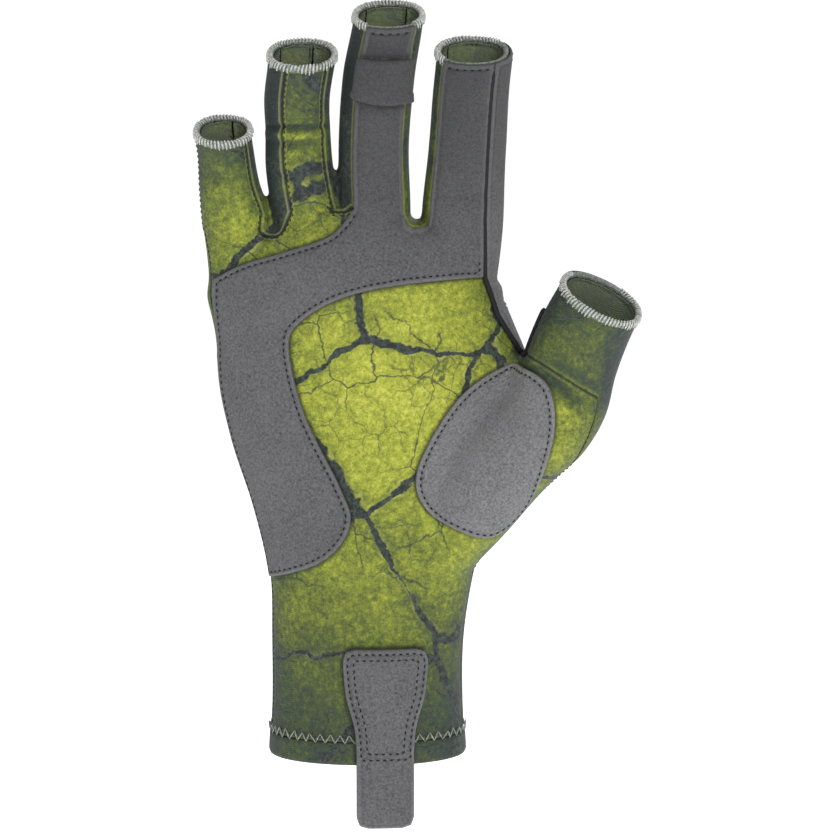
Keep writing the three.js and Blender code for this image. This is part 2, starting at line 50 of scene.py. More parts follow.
hand = {
    "palmHeight": 180.0, "wristWidth": 64.5, "knuckleWidth": 99.0,
    "depths": {"wrist": 45.0, "palm": 34.0, "knuckle": 22.4},
    "webRound": 4.0, "ringSides": 64, "voxel": 0.85, "smoothPasses": 6, "softPasses": 90,
    # up, little side, thumb side, depth it follows, share of that depth, squareness, crown
    "rows": [
        (-0.25, 0.06, 0.06, "wrist", 1.02, 2.2, 0), (0, 0.06, 0.06, "wrist", 1.02, 2.2, 0),
        (0.09, 0, 0, "wrist", 0.98, 2.2, 0), (0.22, 0, 0, "wrist", 0.96, 2.2, 0),
        (0.34, 0.03, 0.2, "wrist", 0.92, 2.3, 0), (0.47, 0.32, 0.6, "palm", 1.09, 2.5, 0),
        (0.6, 0.77, 0.88, "palm", 1.02, 2.6, 0), (0.7, 1, 1.1, "palm", 1, 2.6, 0.01),
        (0.75, 1.03, 1.1, "palm", 0.98, 2.6, 0.02), (0.785, 1.07, 0.95, "palm", 0.95, 2.6, 0.03),
        (0.83, 1.17, 0.76, "palm", 0.84, 2.7, 0.075), (0.868, 1.25, 0.68, "knuckle", 1, 2.8, 0.156),
    ],
}

# Fingers: place as a share of the knuckle width, then length, width and depth at the opening.
# Rows hold along, sway, curl, lean, wide and deep; seams are shares of the half width.
fingers = {
    "little": {
        "at": -0.434, "size": (29, 19.6, 18.5),
        "rows": [(0, 0, 0, 6, 1.22, 1.1), (0.35, -0.1, 0.08, 14, 1.07, 1.04),
                 (0.7, -0.14, 0.2, 22, 1.01, 1), (1, -0.18, 0.34, 29, 1, 1)],
        "seams": {"palmOuter": -0.93, "palmInner": 0.8, "backOuter": -0.93, "backInner": 0.34},
    },
    "ring": {
        "at": -0.199, "size": (53.5, 22.4, 20),
        "rows": [(0, 0, 0, 5, 1.05, 1.08), (0.35, -0.12, 0.056, 12, 1.03, 1.04),
                 (0.54, -0.13, 0.1, 16, 1, 0.97), (0.7, -0.13, 0.16, 20, 1, 1.02),
                 (1, -0.03, 0.27, 27, 1, 1)],
        "seams": {"palmOuter": -0.42, "palmInner": 0.8, "backOuter": -0.8, "backInner": 0.34},
    },
    "middle": {
        "at": 0.029, "size": (66, 23.2, 20.5),
        "rows": [(0, 0, 0, 4, 1.03, 1.06), (0.35, -0.01, 0.045, 11, 1.04, 1.03),
                 (0.7, 0.06, 0.136, 19, 1.06, 1.02), (1, 0.21, 0.25, 26, 1, 1)],
        "seams": {"palmOuter": -0.55, "palmInner": 0.77, "backOuter": -0.8, "backInner": 0.57},
    },
    "index": {
        "at": 0.313, "size": (54.5, 24.2, 20),
        "rows": [(0, 0, 0, 5, 1.09, 1.08), (0.35, 0.04, 0.056, 12, 1.03, 1.04),
                 (0.7, 0.09, 0.16, 20, 1.01, 1), (1, 0.15, 0.27, 26, 1, 1)],
        "seams": {"palmOuter": -0.78, "palmInner": 0.58, "backOuter": -0.8, "backInner": 0.81},
    },
}
fingerRoot = {"seat": 40.0, "share": 0.84, "narrow": 0.93, "slim": 0.4}  # slim keeps the gaps open
thumb = {
    "size": (102, 28, 24), "root": (0.257, 0.09, 0.367),  # inward of the crotch, forward, up
    # out, up, forward, turn, lean, wide, deep
    "rows": [
        (-0.04, -0.06, 0, 38, 0, 0.5, 0.8), (0.078, 0.167, 0.03, 41, 0, 1.05, 1.28),
        (0.229, 0.356, 0.06, 42, 2, 1.11, 1.3), (0.314, 0.441, 0.074, 35, 5, 1.11, 1.25),
        (0.368, 0.529, 0.088, 20, 10, 1.1, 1.17), (0.402, 0.657, 0.113, 17, 15, 1.07, 1.08),
        (0.447, 0.775, 0.147, 23, 20, 1.04, 1.04), (0.495, 0.873, 0.186, 26, 25, 1, 1),
    ],
}
limbSides = 40
limbSquare = 2.2
pastRim = 8.8  # the form runs on past each opening, where it is cut off
palmHeight = hand["palmHeight"]
knuckleWidth = hand["knuckleWidth"]


def curveThrough(ats, table, where):
    # a smooth curve through the rows of a table
    slopes = np.gradient(table, ats, axis=0)
    low = np.clip(np.searchsorted(ats, where, side="right") - 1, 0, len(ats) - 2)
    span = (ats[low + 1] - ats[low])[:, None]
    t = (where[:, None] - ats[low][:, None]) / span
    start = table[low] * (2 * t**3 - 3 * t**2 + 1) + slopes[low] * span * (t**3 - 2 * t**2 + t)
    end = table[low + 1] * (3 * t**2 - 2 * t**3) + slopes[low + 1] * span * (t**3 - t**2)
    return start + end


def unitRing(count, square):
    angle = (np.arange(count) + 0.5) / count * 2 * np.pi
    c, s = np.cos(angle), np.sin(angle)
    return np.sign(c) * np.abs(c) ** (2 / square), np.sign(s) * np.abs(s) ** (2 / square)


def bodyTable():
    flare = (knuckleWidth - hand["wristWidth"]) / 2
    half = hand["wristWidth"] / 2
    rows = [
        (up * palmHeight, -half - little * flare, half + thumbSide * flare,
         hand["depths"][follows] * deep / 2, square, crown * palmHeight)
        for up, little, thumbSide, follows, deep, square, crown in hand["rows"]
    ]
    return np.array(rows, dtype=float)


def bodyRings():
    table = bodyTable()
    table[-1, 0] -= hand["webRound"]
    heights = np.linspace(table[0, 0], table[-1, 0], 60)
    rows = list(curveThrough(table[:, 0], table, heights))
    for t in (0.3, 0.55, 0.75, 0.9, 0.98):  # the top rounds over into the webs
        row = rows[59].copy()
        row[0] += hand["webRound"] * math.sin(t * math.pi / 2)
        row[3] *= math.cos(t * math.pi / 2)
        rows.append(row)
    rings = []
    for at, left, right, half, square, crown in rows:
        ux, uy = unitRing(hand["ringSides"], square)
        x = (left + right) / 2 + (right - left) / 2 * ux
        rings.append(np.stack([x, half * uy, at + crown * (1 - ux**2)], axis=1))
    return rings


def limbAxes(turn, lean):
    turn, lean = np.radians(turn), np.radians(lean)
    wide = np.stack([np.cos(turn), 0 * turn, -np.sin(turn)], axis=-1)
    tipped = np.sin(lean)
    deep = np.stack([np.sin(turn) * tipped, np.cos(lean), np.cos(turn) * tipped], axis=-1)
    return wide, deep, np.cross(wide, deep)


def makeLimb(rows):
    # rows hold x, y, z, turn, lean, half width and half depth
    table = np.array(rows, dtype=float)
    steps = np.linalg.norm(np.diff(table[:, :3], axis=0), axis=1)
    ats = np.concatenate([[0], np.cumsum(steps)])
    axis = limbAxes(table[-1, 3], table[-1, 4])[2]
    end = table[-1].copy()
    end[:3] += axis * pastRim
    return {
        "ats": np.append(ats, ats[-1] + pastRim), "table": np.vstack([table, end]),
        "rimPlace": table[-1, :3], "rimAxis": axis,
    }


def limbRows(limb, start, count=60):
    return curveThrough(limb["ats"], limb["table"], np.linspace(start, limb["ats"][-1], count))


def fingerLimb(finger):
    length, width, depth = finger["size"]
    x = finger["at"] * knuckleWidth
    rows = [
        (x + sway * width, -curl * length, palmHeight + along * length, 0, lean,
         wide * width / 2 - fingerRoot["slim"], deep * depth / 2)
        for along, sway, curl, lean, wide, deep in finger["rows"]
    ]
    first = rows[0]
    root = (x * fingerRoot["narrow"], 0, palmHeight - fingerRoot["seat"], 0, 0,
            first[5] * fingerRoot["share"], first[6] * fingerRoot["share"])
    return makeLimb([root, *rows])


def thumbLimb():
    length, width, depth = thumb["size"]
    inward, forward, up = thumb["root"]
    return makeLimb([
        (crotchX + (out - inward) * length, -forward * hand["depths"]["wrist"] - ahead * length,
         up * palmHeight + rise * length, turn, lean, wide * width / 2, deep * depth / 2)
        for out, rise, ahead, turn, lean, wide, deep in thumb["rows"]
    ])


def limbRings(rows):
    rings = []
    ux, uy = unitRing(limbSides, limbSquare)
    for row in rows:
        wide, deep, _ = limbAxes(row[3], row[4])
        rings.append(row[:3] + np.outer(ux * row[5], wide) + np.outer(uy * row[6], deep))
    return rings


def loft(rings):
    # circles moved to their sections and bridged, with both ends closed
    bm = bmesh.new()
    loops = []
    for ring in rings:
        made = bmesh.ops.create_circle(bm, segments=len(ring), radius=1)["verts"]
        for vert, place in zip(made, ring):
            vert.co = place
        loops.append({edge for vert in made for edge in vert.link_edges})
    ends = [list(loops[0]), list(loops[-1])]
    for low, high in zip(loops, loops[1:]):
        bmesh.ops.bridge_loops(bm, edges=list(low) + list(high))
    for end in ends:
        bmesh.ops.contextual_create(bm, geom=end)
    bmesh.ops.recalc_face_normals(bm, faces=bm.faces)
    return bm


clothWall = 1.5
bodyAt = bodyTable()
crotchZ = 0.755 * palmHeight
crotchX = float(np.interp(crotchZ, bodyAt[:, 0], bodyAt[:, 2])) + clothWall
limbs = {name: fingerLimb(finger) for name, finger in fingers.items()}
limbs["thumb"] = thumbLimb()
web = {"height": 24.0, "depth": 18.0, "turn": 78}
softened = [
    # limits of x, y and z inside which the form is smoothed for longer
    ((8, crotchX + 14), (-99, -2), (62, crotchZ - 2)),  # the ball of the thumb
    ((-99, -34), (-99, 99), (134, 176)),  # the side below the little finger
]


def webRings():
    _, width, depth = thumb["size"]
    size = (web["turn"], 0, web["height"] / 2, web["depth"] / 2)
    low = np.array([crotchX - width * 0.5, 0, crotchZ - web["height"] * 0.62, *size])
    high = np.array([crotchX + width * 0.4, -depth * 0.45, crotchZ - web["height"] * 0.5, *size])
    return limbRings([low + (high - low) * t for t in np.linspace(0, 1, 8)])


def isSoft(place):
    return any(all(low < at < high for at, (low, high) in zip(place, box)) for box in softened)


def buildForm():
    whole = bmesh.new()
    tubes = [bodyRings(), webRings()]
    tubes += [limbRings(limbRows(limb, 0, 48)) for limb in limbs.values()]
    for rings in tubes:
        tube = loft(rings)
        part = bpy.data.meshes.new("tube")
        tube.to_mesh(part)
        tube.free()
        whole.from_mesh(part)
        bpy.data.meshes.remove(part)
    mesh = bpy.data.meshes.new("handForm")
    whole.to_mesh(mesh)
    whole.free()
    holder = bpy.data.objects.new("handForm", mesh)
    bpy.context.scene.collection.objects.link(holder)
    remesh = holder.modifiers.new("fuse", "REMESH")
    remesh.mode = "VOXEL"
    remesh.voxel_size = hand["voxel"]
    graph = bpy.context.evaluated_depsgraph_get()
    fused = bpy.data.meshes.new_from_object(holder.evaluated_get(graph))
    bpy.data.objects.remove(holder)
    bm = bmesh.new()
    bm.from_mesh(fused)
    soft = [vert for vert in bm.verts if isSoft(vert.co)]
    allAxes = {"use_axis_x": True, "use_axis_y": True, "use_axis_z": True}
    for verts, passes in ((bm.verts, hand["smoothPasses"]), (soft, hand["softPasses"])):
        for _ in range(passes):
            bmesh.ops.smooth_vert(bm, verts=verts, factor=0.5, **allAxes)
    bmesh.ops.triangulate(bm, faces=bm.faces)
    bm.to_mesh(fused)
    bm.free()
    return fused


def readForm(mesh):
    count = len(mesh.vertices)
    places = np.empty(count * 3)
    normals = np.empty(count * 3)
    corners = np.empty(len(mesh.loops), dtype=int)
    mesh.vertices.foreach_get("co", places)
    mesh.vertex_normals.foreach_get("vector", normals)
    mesh.loops.foreach_get("vertex_index", corners)
    return places.reshape(-1, 3), normals.reshape(-1, 3), corners.reshape(-1, 3)


form = buildForm()
spots, outward, corners = readForm(form)
print("hand form:", len(spots), "points")


# Fields: a value at each point of the form, positive inside a piece, about the distance to its edge

def smooth(values, low, high):
    t = np.clip((values - low) / (high - low), 0, 1)
    return t * t * (3 - 2 * t)


def outlineDistance(outline, closed=True):
    # signed distance seen from the front, and its direction
    flat = spots[:, [0, 2]]
    knots = np.array(outline, dtype=float)
    starts = knots if closed else knots[:-1]
    ends = np.roll(knots, -1, axis=0) if closed else knots[1:]
    best = np.full(len(flat), 1e9)
    away = np.zeros_like(flat)
    inside = np.zeros(len(flat), dtype=bool)
    along = np.zeros(len(flat))
    for index, (a, b) in enumerate(zip(starts, ends)):
        line = b - a
        t = np.clip(((flat - a) @ line) / max(line @ line, 1e-9), 0, 1)
        offset = flat - (a + t[:, None] * line)
        distance = np.hypot(offset[:, 0], offset[:, 1])
        nearer = distance < best
        best[nearer] = distance[nearer]
        away[nearer] = offset[nearer]
        along[nearer] = index + t[nearer]
        crosses = (a[1] > flat[:, 1]) != (b[1] > flat[:, 1])
        reach = a[0] + (flat[:, 1] - a[1]) / (b[1] - a[1] if b[1] != a[1] else 1e-9) * (b[0] - a[0])
        inside ^= crosses & (flat[:, 0] < reach)
    away /= np.maximum(best, 1e-6)[:, None]
    return best, inside, away, along / len(starts)


def within(outline):
    # the distance is measured on the surface, which leans away from the eye near the sides
    best, inside, away, _ = outlineDistance(outline)
    toward = away[:, 0] * outward[:, 0] + away[:, 1] * outward[:, 2]
    return np.where(inside, best, -best) / np.maximum(np.sqrt(1 - np.minimum(toward**2, 1)), 0.3)


def nearestLimb():
    distances = []
    for limb in limbs.values():
        centres = limbRows(limb, 0, 40)
        gaps = np.linalg.norm(spots[:, None, :] - centres[None, :, :3], axis=2)
        distances.append(gaps.min(axis=1))
    return np.argmin(np.array(distances), axis=0)


limbNames, ofLimb = list(limbs), nearestLimb()
seam = {"set": 4.0, "fingerSet": 1.5, "rise": 0.83, "blend": 1.2}
thumbRim = limbs["thumb"]["rimPlace"]
thumbSlope = (thumbRim[1] + seam["set"] * 0.7) / (thumbRim[0] - crotchX)


def sideField():
    # behind the side seam, which curls forward with each finger and the thumb
    x, y, z = spots.T
    line = np.interp(z, [seam["rise"] * palmHeight, palmHeight], [-seam["set"], -seam["fingerSet"]])
    for index, name in enumerate(limbNames):
        if name != "thumb":
            rows = limbRows(limbs[name], fingerRoot["seat"])
            curl = np.interp(z, rows[:, 2], rows[:, 1])
            line = np.where((ofLimb == index) & (z > palmHeight), curl - seam["fingerSet"], line)
    beside = -seam["set"] + thumbSlope * (x - crotchX)
    return y - np.where(x > crotchX, beside, line)


behind = sideField()
backShare = smooth(behind, -seam["blend"], seam["blend"])


def bothSides(palmField, backField):
    return palmField * (1 - backShare) + backField * backShare


def limbLine(name, share, start):
    # a line down a limb, seen from the front, from its opening to its root
    rows = limbRows(limbs[name], start, 30)
    wide = limbAxes(rows[:, 3], rows[:, 4])[0]
    out = rows[:, 5] * share
    line = np.stack([rows[:, 0] + wide[:, 0] * out, rows[:, 2] + wide[:, 2] * out], axis=1)
    return [tuple(point) for point in line[::-1]]


def throughKnots(knots, count, closed=False):
    points = np.array(knots, dtype=float)
    if closed:
        points = np.vstack([points[-2:], points, points[:3]])
    ats = np.arange(len(points), dtype=float)
    span = (2, len(points) - 3) if closed else (0, len(points) - 1)
    line = curveThrough(ats, points, np.linspace(*span, count))
    return [tuple(point) for point in (line[:-1] if closed else line)]


def rimField():
    # below the openings of the fingers and the thumb
    field = np.full(len(spots), 50.0)
    for index, name in enumerate(limbNames):
        limb = limbs[name]
        below = (limb["rimPlace"] - spots) @ limb["rimAxis"]
        field = np.where(ofLimb == index, np.minimum(field, below), field)
    return field


far = 200.0
seat = fingerRoot["seat"]


def webHeight(x):
    left, right, crown = bodyAt[-1, 1], bodyAt[-1, 2], bodyAt[-1, 5]
    unit = (x - (left + right) / 2) / ((right - left) / 2)
    return bodyAt[-1, 0] + crown * (1 - unit * unit)


stripFoot = [(-3.6, 0.6), (-1.6, -0.6), (1.6, -0.6), (3.6, 0.6)]  # foot of a side strip, at its web


def fourchetteField(outer, inner):
    middle = (fingers[outer]["at"] + fingers[inner]["at"]) * 0.5 * knuckleWidth
    foot = webHeight(middle) - clothWall

    def outline(outerShare, innerShare):
        left = limbLine(outer, outerShare, seat + clothWall)
        right = limbLine(inner, innerShare, seat + clothWall)
        bottom = [(middle + across, foot + up) for across, up in stripFoot]
        top = max(left[0][1], right[0][1]) + pastRim
        return [(left[0][0], top), *left, *bottom, *right[::-1], (right[0][0], top)]

    outerSeams, innerSeams = fingers[outer]["seams"], fingers[inner]["seams"]
    palmSide = within(outline(outerSeams["palmInner"], innerSeams["palmOuter"]))
    backSide = within(outline(outerSeams["backInner"], innerSeams["backOuter"]))
    return bothSides(palmSide, backSide)


thumbSeam = {"slope": 0.59, "hinge": 0.34}  # on the palm side, and on the back as a share of width


def thumbField():
    bend = limbs["thumb"]["table"][4]
    outer = bend[0] + bend[5]
    rise = (outer - crotchX) * thumbSeam["slope"]
    hinge = crotchX + thumb["size"][1] * thumbSeam["hinge"]
    start, top = (crotchX, crotchZ), [(far, far), (crotchX, far)]
    palmSide = [start, (outer, crotchZ - rise), (far, crotchZ - rise), *top]
    backSide = [start, (hinge, crotchZ - crotchPatch["drop"]), (hinge, 0), (far, 0), *top]
    return bothSides(within(palmSide), within(backSide))


crotchPatch = {
    "drop": 22.5, "neck": 9.0, "thumbShare": 0.32, "pastThumb": 28, "pastIndex": 24,
    # the foot of the patch, across and down from the crotch as shares of the drop
    "foot": [(-0.36, -0.6), (-0.3, -0.06), (-0.21, 0.5), (0, 0.83), (0.3, 0.98), (0.6, 0.95)],
}
hem = {"height": 7.5, "stand": 0.45, "roll": 1.2, "sunk": 0.1, "wall": 2.4}
edging = {"height": 2.2, "stand": 0.3, "roll": 0.9, "sunk": 0.15, "wall": 1.6, "bare": 0.35}
rims = rimField()
side = -behind
webPairs = [("little", "ring"), ("ring", "middle"), ("middle", "index")]
fourchettes = [fourchetteField(outer, inner) for outer, inner in webPairs]
onThumb = thumbField()
cloth = np.minimum(rims - edging["height"] * 0.5, spots[:, 2] - hem["height"] + 0.4)
shell = np.minimum.reduce([cloth, -onThumb, *[-field for field in fourchettes]])
print("seam fields ready")


# Patch outlines as shares of the knuckle width and the palm height

palmPatch = {
    "inner": [(0.385, 0.891), (0.105, 0.878), (-0.085, 0.854), (-0.218, 0.811), (-0.253, 0.763),
              (-0.202, 0.644), (-0.085, 0.511), (-0.052, 0.444), (-0.136, 0.378), (-0.34, 0.332)],
    "upper": [(-0.515, 0.883), (-0.418, 0.913), (-0.288, 0.935), (-0.135, 0.963), (-0.082, 0.985)],
    "webGap": 0.5,
}
thenarPatch = [
    (0.487, 0.733), (0.595, 0.706), (0.621, 0.64), (0.59, 0.556), (0.522, 0.472), (0.414, 0.423),
    (0.3, 0.437), (0.196, 0.472), (0.163, 0.532), (0.233, 0.62), (0.34, 0.693),
]
pullBand = {"height": 13.5, "drop": 14.0, "bow": 3.2, "lift": 2.1, "sewn": 2.5, "freeFrom": 0.8}
pullTab = {"offset": 6.0, "top": 27.2, "width": 18.6, "height": 60.0, "hang": 21.0}


def onPalm(knots):
    return [(across * knuckleWidth, up * palmHeight) for across, up in knots]


def palmPatchField():
    inner, upper = onPalm(palmPatch["inner"]), onPalm(palmPatch["upper"])
    outline = [
        *limbLine("index", fingers["index"]["seams"]["palmInner"], seat), *throughKnots(inner, 44),
        (-far, inner[-1][1]), (-far, upper[0][1]), *throughKnots(upper, 20),
        *limbLine("middle", fingers["middle"]["seams"]["palmOuter"], seat + clothWall * 2)[::-1],
    ]
    return np.minimum.reduce([within(outline), side - 2, -fourchettes[2] - palmPatch["webGap"]])


def crotchPatchField():
    p = crotchPatch
    seams = fingers["index"]["seams"]
    corner = onPalm(palmPatch["inner"][:1])[0]
    indexRim, thumbTop = limbs["index"]["table"][-1], limbs["thumb"]["table"][-1]
    beyond = [(thumbTop[0], thumbTop[2] + p["pastThumb"]),
              (indexRim[0] + p["pastIndex"], indexRim[2] + p["pastIndex"])]
    foot = [(crotchX + across * p["drop"], crotchZ - down * p["drop"])
            for across, down in p["foot"]]
    back = [*limbLine("index", seams["backInner"], seat * 0.8), *throughKnots(foot, 24),
            *limbLine("thumb", p["thumbShare"], limbs["thumb"]["ats"][4])[::-1], *beyond]
    root = limbs["index"]["table"][1]
    beside = crotchX - clothWall * 1.5
    front = [*limbLine("index", seams["palmInner"], seat), (corner[0] + 0.6, corner[1]),
             (root[0] + root[5] * 0.95, palmHeight * 0.82),
             (beside, crotchZ), (beside, beyond[1][1])]
    # the strip keeps its width along the side of the hand, which the front view doesn't show
    x, _, z = spots.T
    neck = np.minimum.reduce([p["neck"] - behind, x - root[0], crotchX + 1.5 - x,
                              z - crotchZ + 6, palmHeight * 0.975 - z])
    return bothSides(within(front), np.maximum(within(back), neck))


bandTop = limbs["middle"]["rimPlace"][2] - pullBand["drop"]


def bandField():
    seams = fingers["middle"]["seams"]
    left, right = [limbLine("middle", seams[key], seat) for key in ("palmOuter", "palmInner")]
    outline = left + right[::-1]
    x, _, z = spots.T
    middle, width = limbs["middle"]["rimPlace"][0] - 1.5, limbs["middle"]["table"][-1][5]
    bow = pullBand["bow"] * (((x - middle) / width) ** 2 - 0.3)
    top = bandTop - z + 0.4 * bow
    low = z - bandTop + pullBand["height"] - bow
    return np.minimum.reduce([within(outline) + 0.3, side, top, low])


def tabField():
    t = pullTab
    low, high = -t["hang"], t["height"] - t["hang"]
    half, halfTop, corner = t["width"] / 2, t["top"] / 2, t["width"] * 0.1
    waist = [(halfTop, high - 6), (halfTop - 1, high - 16), (half + 0.7, high - 26),
             (half, high - 34), (half, 0), (half, low + corner * 2)]
    rightSide = [(halfTop - corner * 2, high), (halfTop - corner * 0.5, high - corner * 0.5),
                 (halfTop, high - corner * 2), *throughKnots(waist, 24),
                 (half - corner * 0.5, low + corner * 0.5), (half - corner * 2, low)]
    outline = [(x + t["offset"], z) for x, z in rightSide]
    outline += [(t["offset"] - x, z) for x, z in rightSide[::-1]]
    return np.minimum(within(outline), side)


palmSuede, crotchSuede = palmPatchField(), crotchPatchField()
underSuede = np.maximum(palmSuede, crotchSuede)
thenarOutline = throughKnots(onPalm(thenarPatch), 60, closed=True)
fields = {
    "palmPatch": np.minimum(palmSuede, rims - edging["bare"]),
    "thenarPatch": np.minimum(within(thenarOutline), side - 2),
    "crotchPatch": np.minimum(crotchSuede, rims - edging["bare"]),
    "pullBand": bandField(),
    "pullTab": tabField(),
    "palmPanel": np.minimum(shell, side),
    "backPanel": np.minimum(shell, behind),
    "thumbPanel": np.minimum(cloth, onThumb),
    "cuffHem": np.minimum(spots[:, 2], hem["height"] - spots[:, 2]),
}
for (outer, inner), field in zip(webPairs, fourchettes):
    fields[f"fourchette_{outer}_{inner}"] = np.minimum(cloth, field)
for index, name in enumerate(limbNames):
    ring = np.minimum(rims, edging["height"] - rims)
    fields[f"edging_{name}"] = np.where(ofLimb == index, ring, -5.0)
print("piece fields ready")


# Folds press into or stand out of the form before the pieces are cut

folds = [
    # points seen from the front, depth (negative is a ridge), width, on the back of the hand
    ([(53.9, 133), (61.9, 126.7), (69.8, 119.8)], 1.3, 2.2, False),
    ([(52, 128), (60, 121.5), (70, 113)], -0.9, 3.0, False),
    ([(55, 137), (66, 131.5), (76, 125)], 0.9, 1.8, False),
    ([(-34, 210), (-26, 209.2), (-11, 210)], 1.5, 1.0, False),
    ([(-34, 207.6), (-25, 206.8), (-12, 207.6)], -0.8, 1.6, False),
    ([(-33, 204.8), (-24, 204), (-14, 204.8)], 0.9, 1.1, False),
    ([(-32, 194), (-24, 193.2), (-15, 194.5)], 0.6, 1.4, False),
    ([(-54, 194.5), (-46, 193), (-38, 194)], 0.5, 1.6, False),
    ([(0, 236.5), (8, 235), (17, 237.5)], 1.0, 2.2, False),
    ([(-7, 188), (2, 187), (11, 188.5)], 0.4, 1.8, False),
    ([(22, 188), (31, 187), (40, 188.5)], 0.4, 1.8, False),
    ([(3.7, 226.5), (2.5, 220), (0.3, 213.2)], 1.0, 1.3, True),
    ([(50, 112), (62, 104), (68, 96)], 0.6, 4.0, True),
    ([(-30, 60), (-12, 57), (8, 61)], 0.35, 5.0, False),
    ([(-20, 66), (0, 70), (22, 67)], 0.35, 5.0, True),
]


def foldDepth():
    depth = np.zeros(len(spots))
    for points, deep, width, onBack in folds:
        distance, _, _, along = outlineDistance(throughKnots(points, 12), closed=False)
        taper = np.sin(np.clip(along, 0, 1) * np.pi) ** 0.6
        here = backShare if onBack else 1 - backShare
        depth += deep * np.exp(-(distance / width) ** 2) * taper * here
    return depth


waves = {"slow": 0.28, "fine": 0.12, "fineFrom": (150, 190)}


def gentleWaves():
    # ripples of cloth that isn't pulled quite tight, with finer ones on the fingers
    x, y, z = spots.T
    slow = np.sin(z / 17 + x / 23 + 0.6) * np.sin(x / 14 - z / 41 + y / 19)
    fine = np.sin(z / 6.5 + np.sin(x / 9) * 2) * smooth(z, *waves["fineFrom"])
    return waves["slow"] * slow + waves["fine"] * fine


printAndShadeTone = {
    "plain": 0.42, "bright": 0.24, "cuff": 0.76, "cuffBack": 0.94, "tip": 0.76, "thumb": 0.88,
    # shaded, edge and the crease amount set painted shade: on the strips facing the little finger,
    # on the sides and in the creases
    "shaded": 0.42, "edge": 0.4, "creaseShade": 0.22,
    # the bright place in the palm and its reach, and where the cuff and the thumb turn dark
    "brightAt": (10, 120), "brightReach": (44, 40), "cuffFade": (4, 84), "thumbReach": 60,
    "thumbAcross": (7, 20), "thumbUp": (108, 130), "palmShift": 9,
}


def printAndPaintedShade():
    # how dark the print is: bright in the palm, slate at the cuff, the fingertips and the thumb;
    # painted shade is added on the strips facing the little finger, in the creases and on the sides
    s = printAndShadeTone
    x, _, z = spots.T
    (atX, atZ), (reachX, reachZ) = s["brightAt"], s["brightReach"]
    bright = np.exp(-((x - atX) / reachX) ** 2 - ((z - atZ) / reachZ) ** 2)
    base = s["plain"] - s["bright"] * bright
    low = 1 - smooth(z, *s["cuffFade"])
    cuff = bothSides(s["cuff"] * low**1.3, s["cuffBack"] * low**0.9)
    shade = np.maximum(base, base * (1 - low) + cuff)
    for index, name in enumerate(limbNames):
        reach = s["thumbReach"] if name == "thumb" else fingers[name]["size"][0]
        rise = -rims if name == "thumb" else z - limbs[name]["rimPlace"][2]
        tip = smooth(rise, -reach, reach * 0.12)
        shade = np.where(ofLimb == index, np.maximum(shade, base + (s["tip"] - base) * tip), shade)
    across = x - crotchX - s["palmShift"] * (1 - backShare)
    thumbDark = smooth(across, *s["thumbAcross"]) * smooth(z, *s["thumbUp"])
    shade = np.maximum(shade, base + (s["thumb"] - base) * thumbDark)
    for field in fourchettes[:2]:  # painted shade: the strips that face the little finger, away from the key light, are darkened
        shade = shade + s["shaded"] * smooth(field, -0.4, 0.6) * smooth(-outward[:, 0], 0.1, 0.6)
    # painted shade in the fold valleys, and painted highlight on the ridges
    shade = shade + s["creaseShade"] * np.clip(creases, -1, 1.5)
    # painted shade on the sides of the hand and fingers, which turn away from the front and the
    # back
    return shade + s["edge"] * (1 - np.abs(outward[:, 1])) ** 1.3


def savePoint(name, values, kind="FLOAT"):
    layer = form.attributes.new(name, kind, "POINT")
    layer.data.foreach_set("vector" if kind == "FLOAT_VECTOR" else "value", values.ravel())


creases = foldDepth()
spots = spots - outward * (creases + gentleWaves())[:, None]
form.vertices.foreach_set("co", spots.ravel())
shadowCasters = ("palmPatch", "thenarPatch", "crotchPatch", "pullTab")  # pieces that cast a painted shadow on the cloth around them
nearPatch = np.maximum.reduce([fields[name] for name in shadowCasters])
savePoint("shade", printAndPaintedShade())
# how near each point is to those pieces, for the painted contact shadow
savePoint("cover", nearPatch)
savePoint("underBand", np.where(fields["pullBand"] > 0, -9.0, fields["pullBand"]))
savePoint("outward", outward, "FLOAT_VECTOR")
print("folds and print shade ready")


# Cutting

def scoreAlong(bm, layer, level):
    # new edges where the layer's value passes the level
    crossing = []
    for edge in bm.edges:
        a, b = edge.verts
        if (a[layer] - level) * (b[layer] - level) < 0:
            crossing.append(edge)
    layers = bm.verts.layers.float.values() + bm.verts.layers.float_vector.values()
    fresh = []
    for edge in crossing:
        a, b = edge.verts
        share = min(max((level - a[layer]) / (b[layer] - a[layer]), 0.02), 0.98)
        values = [(key, a[key] * (1 - share) + b[key] * share) for key in layers]
        spot = a.co.lerp(b.co, share)
        made = bmesh.utils.edge_split(edge, a, share)[1]
        made.co = spot
        for key, value in values:
            made[key] = value
        made[layer] = level
        fresh.append(made)
    bmesh.ops.connect_verts(bm, verts=fresh)


def cutPiece(field, scores):
    # the part of the form where the field is above zero, with extra edge loops at the scores
    bm = bmesh.new()
    bm.from_mesh(form)
    edge = bm.verts.layers.float.new("edge")
    for vert, value in zip(bm.verts, field.tolist()):
        vert[edge] = value
    outside = (field[corners].max(axis=1) < 0).tolist()
    bmesh.ops.delete(bm, geom=[f for f, out in zip(bm.faces, outside) if out], context="FACES")
    for level in (0.0, *scores):
        scoreAlong(bm, edge, level)
    gone = [f for f in bm.faces if min(v[edge] for v in f.verts) < -1e-5]
    bmesh.ops.delete(bm, geom=gone, context="FACES")
    return bm


def stand(bm, profile):
    # move each point along the form's normal, by a height that its distance to the edge gives
    edge = bm.verts.layers.float["edge"]
    normal = bm.verts.layers.float_vector["outward"]
    for vert in bm.verts:
        vert.co += vert[normal].normalized() * profile(vert[edge])


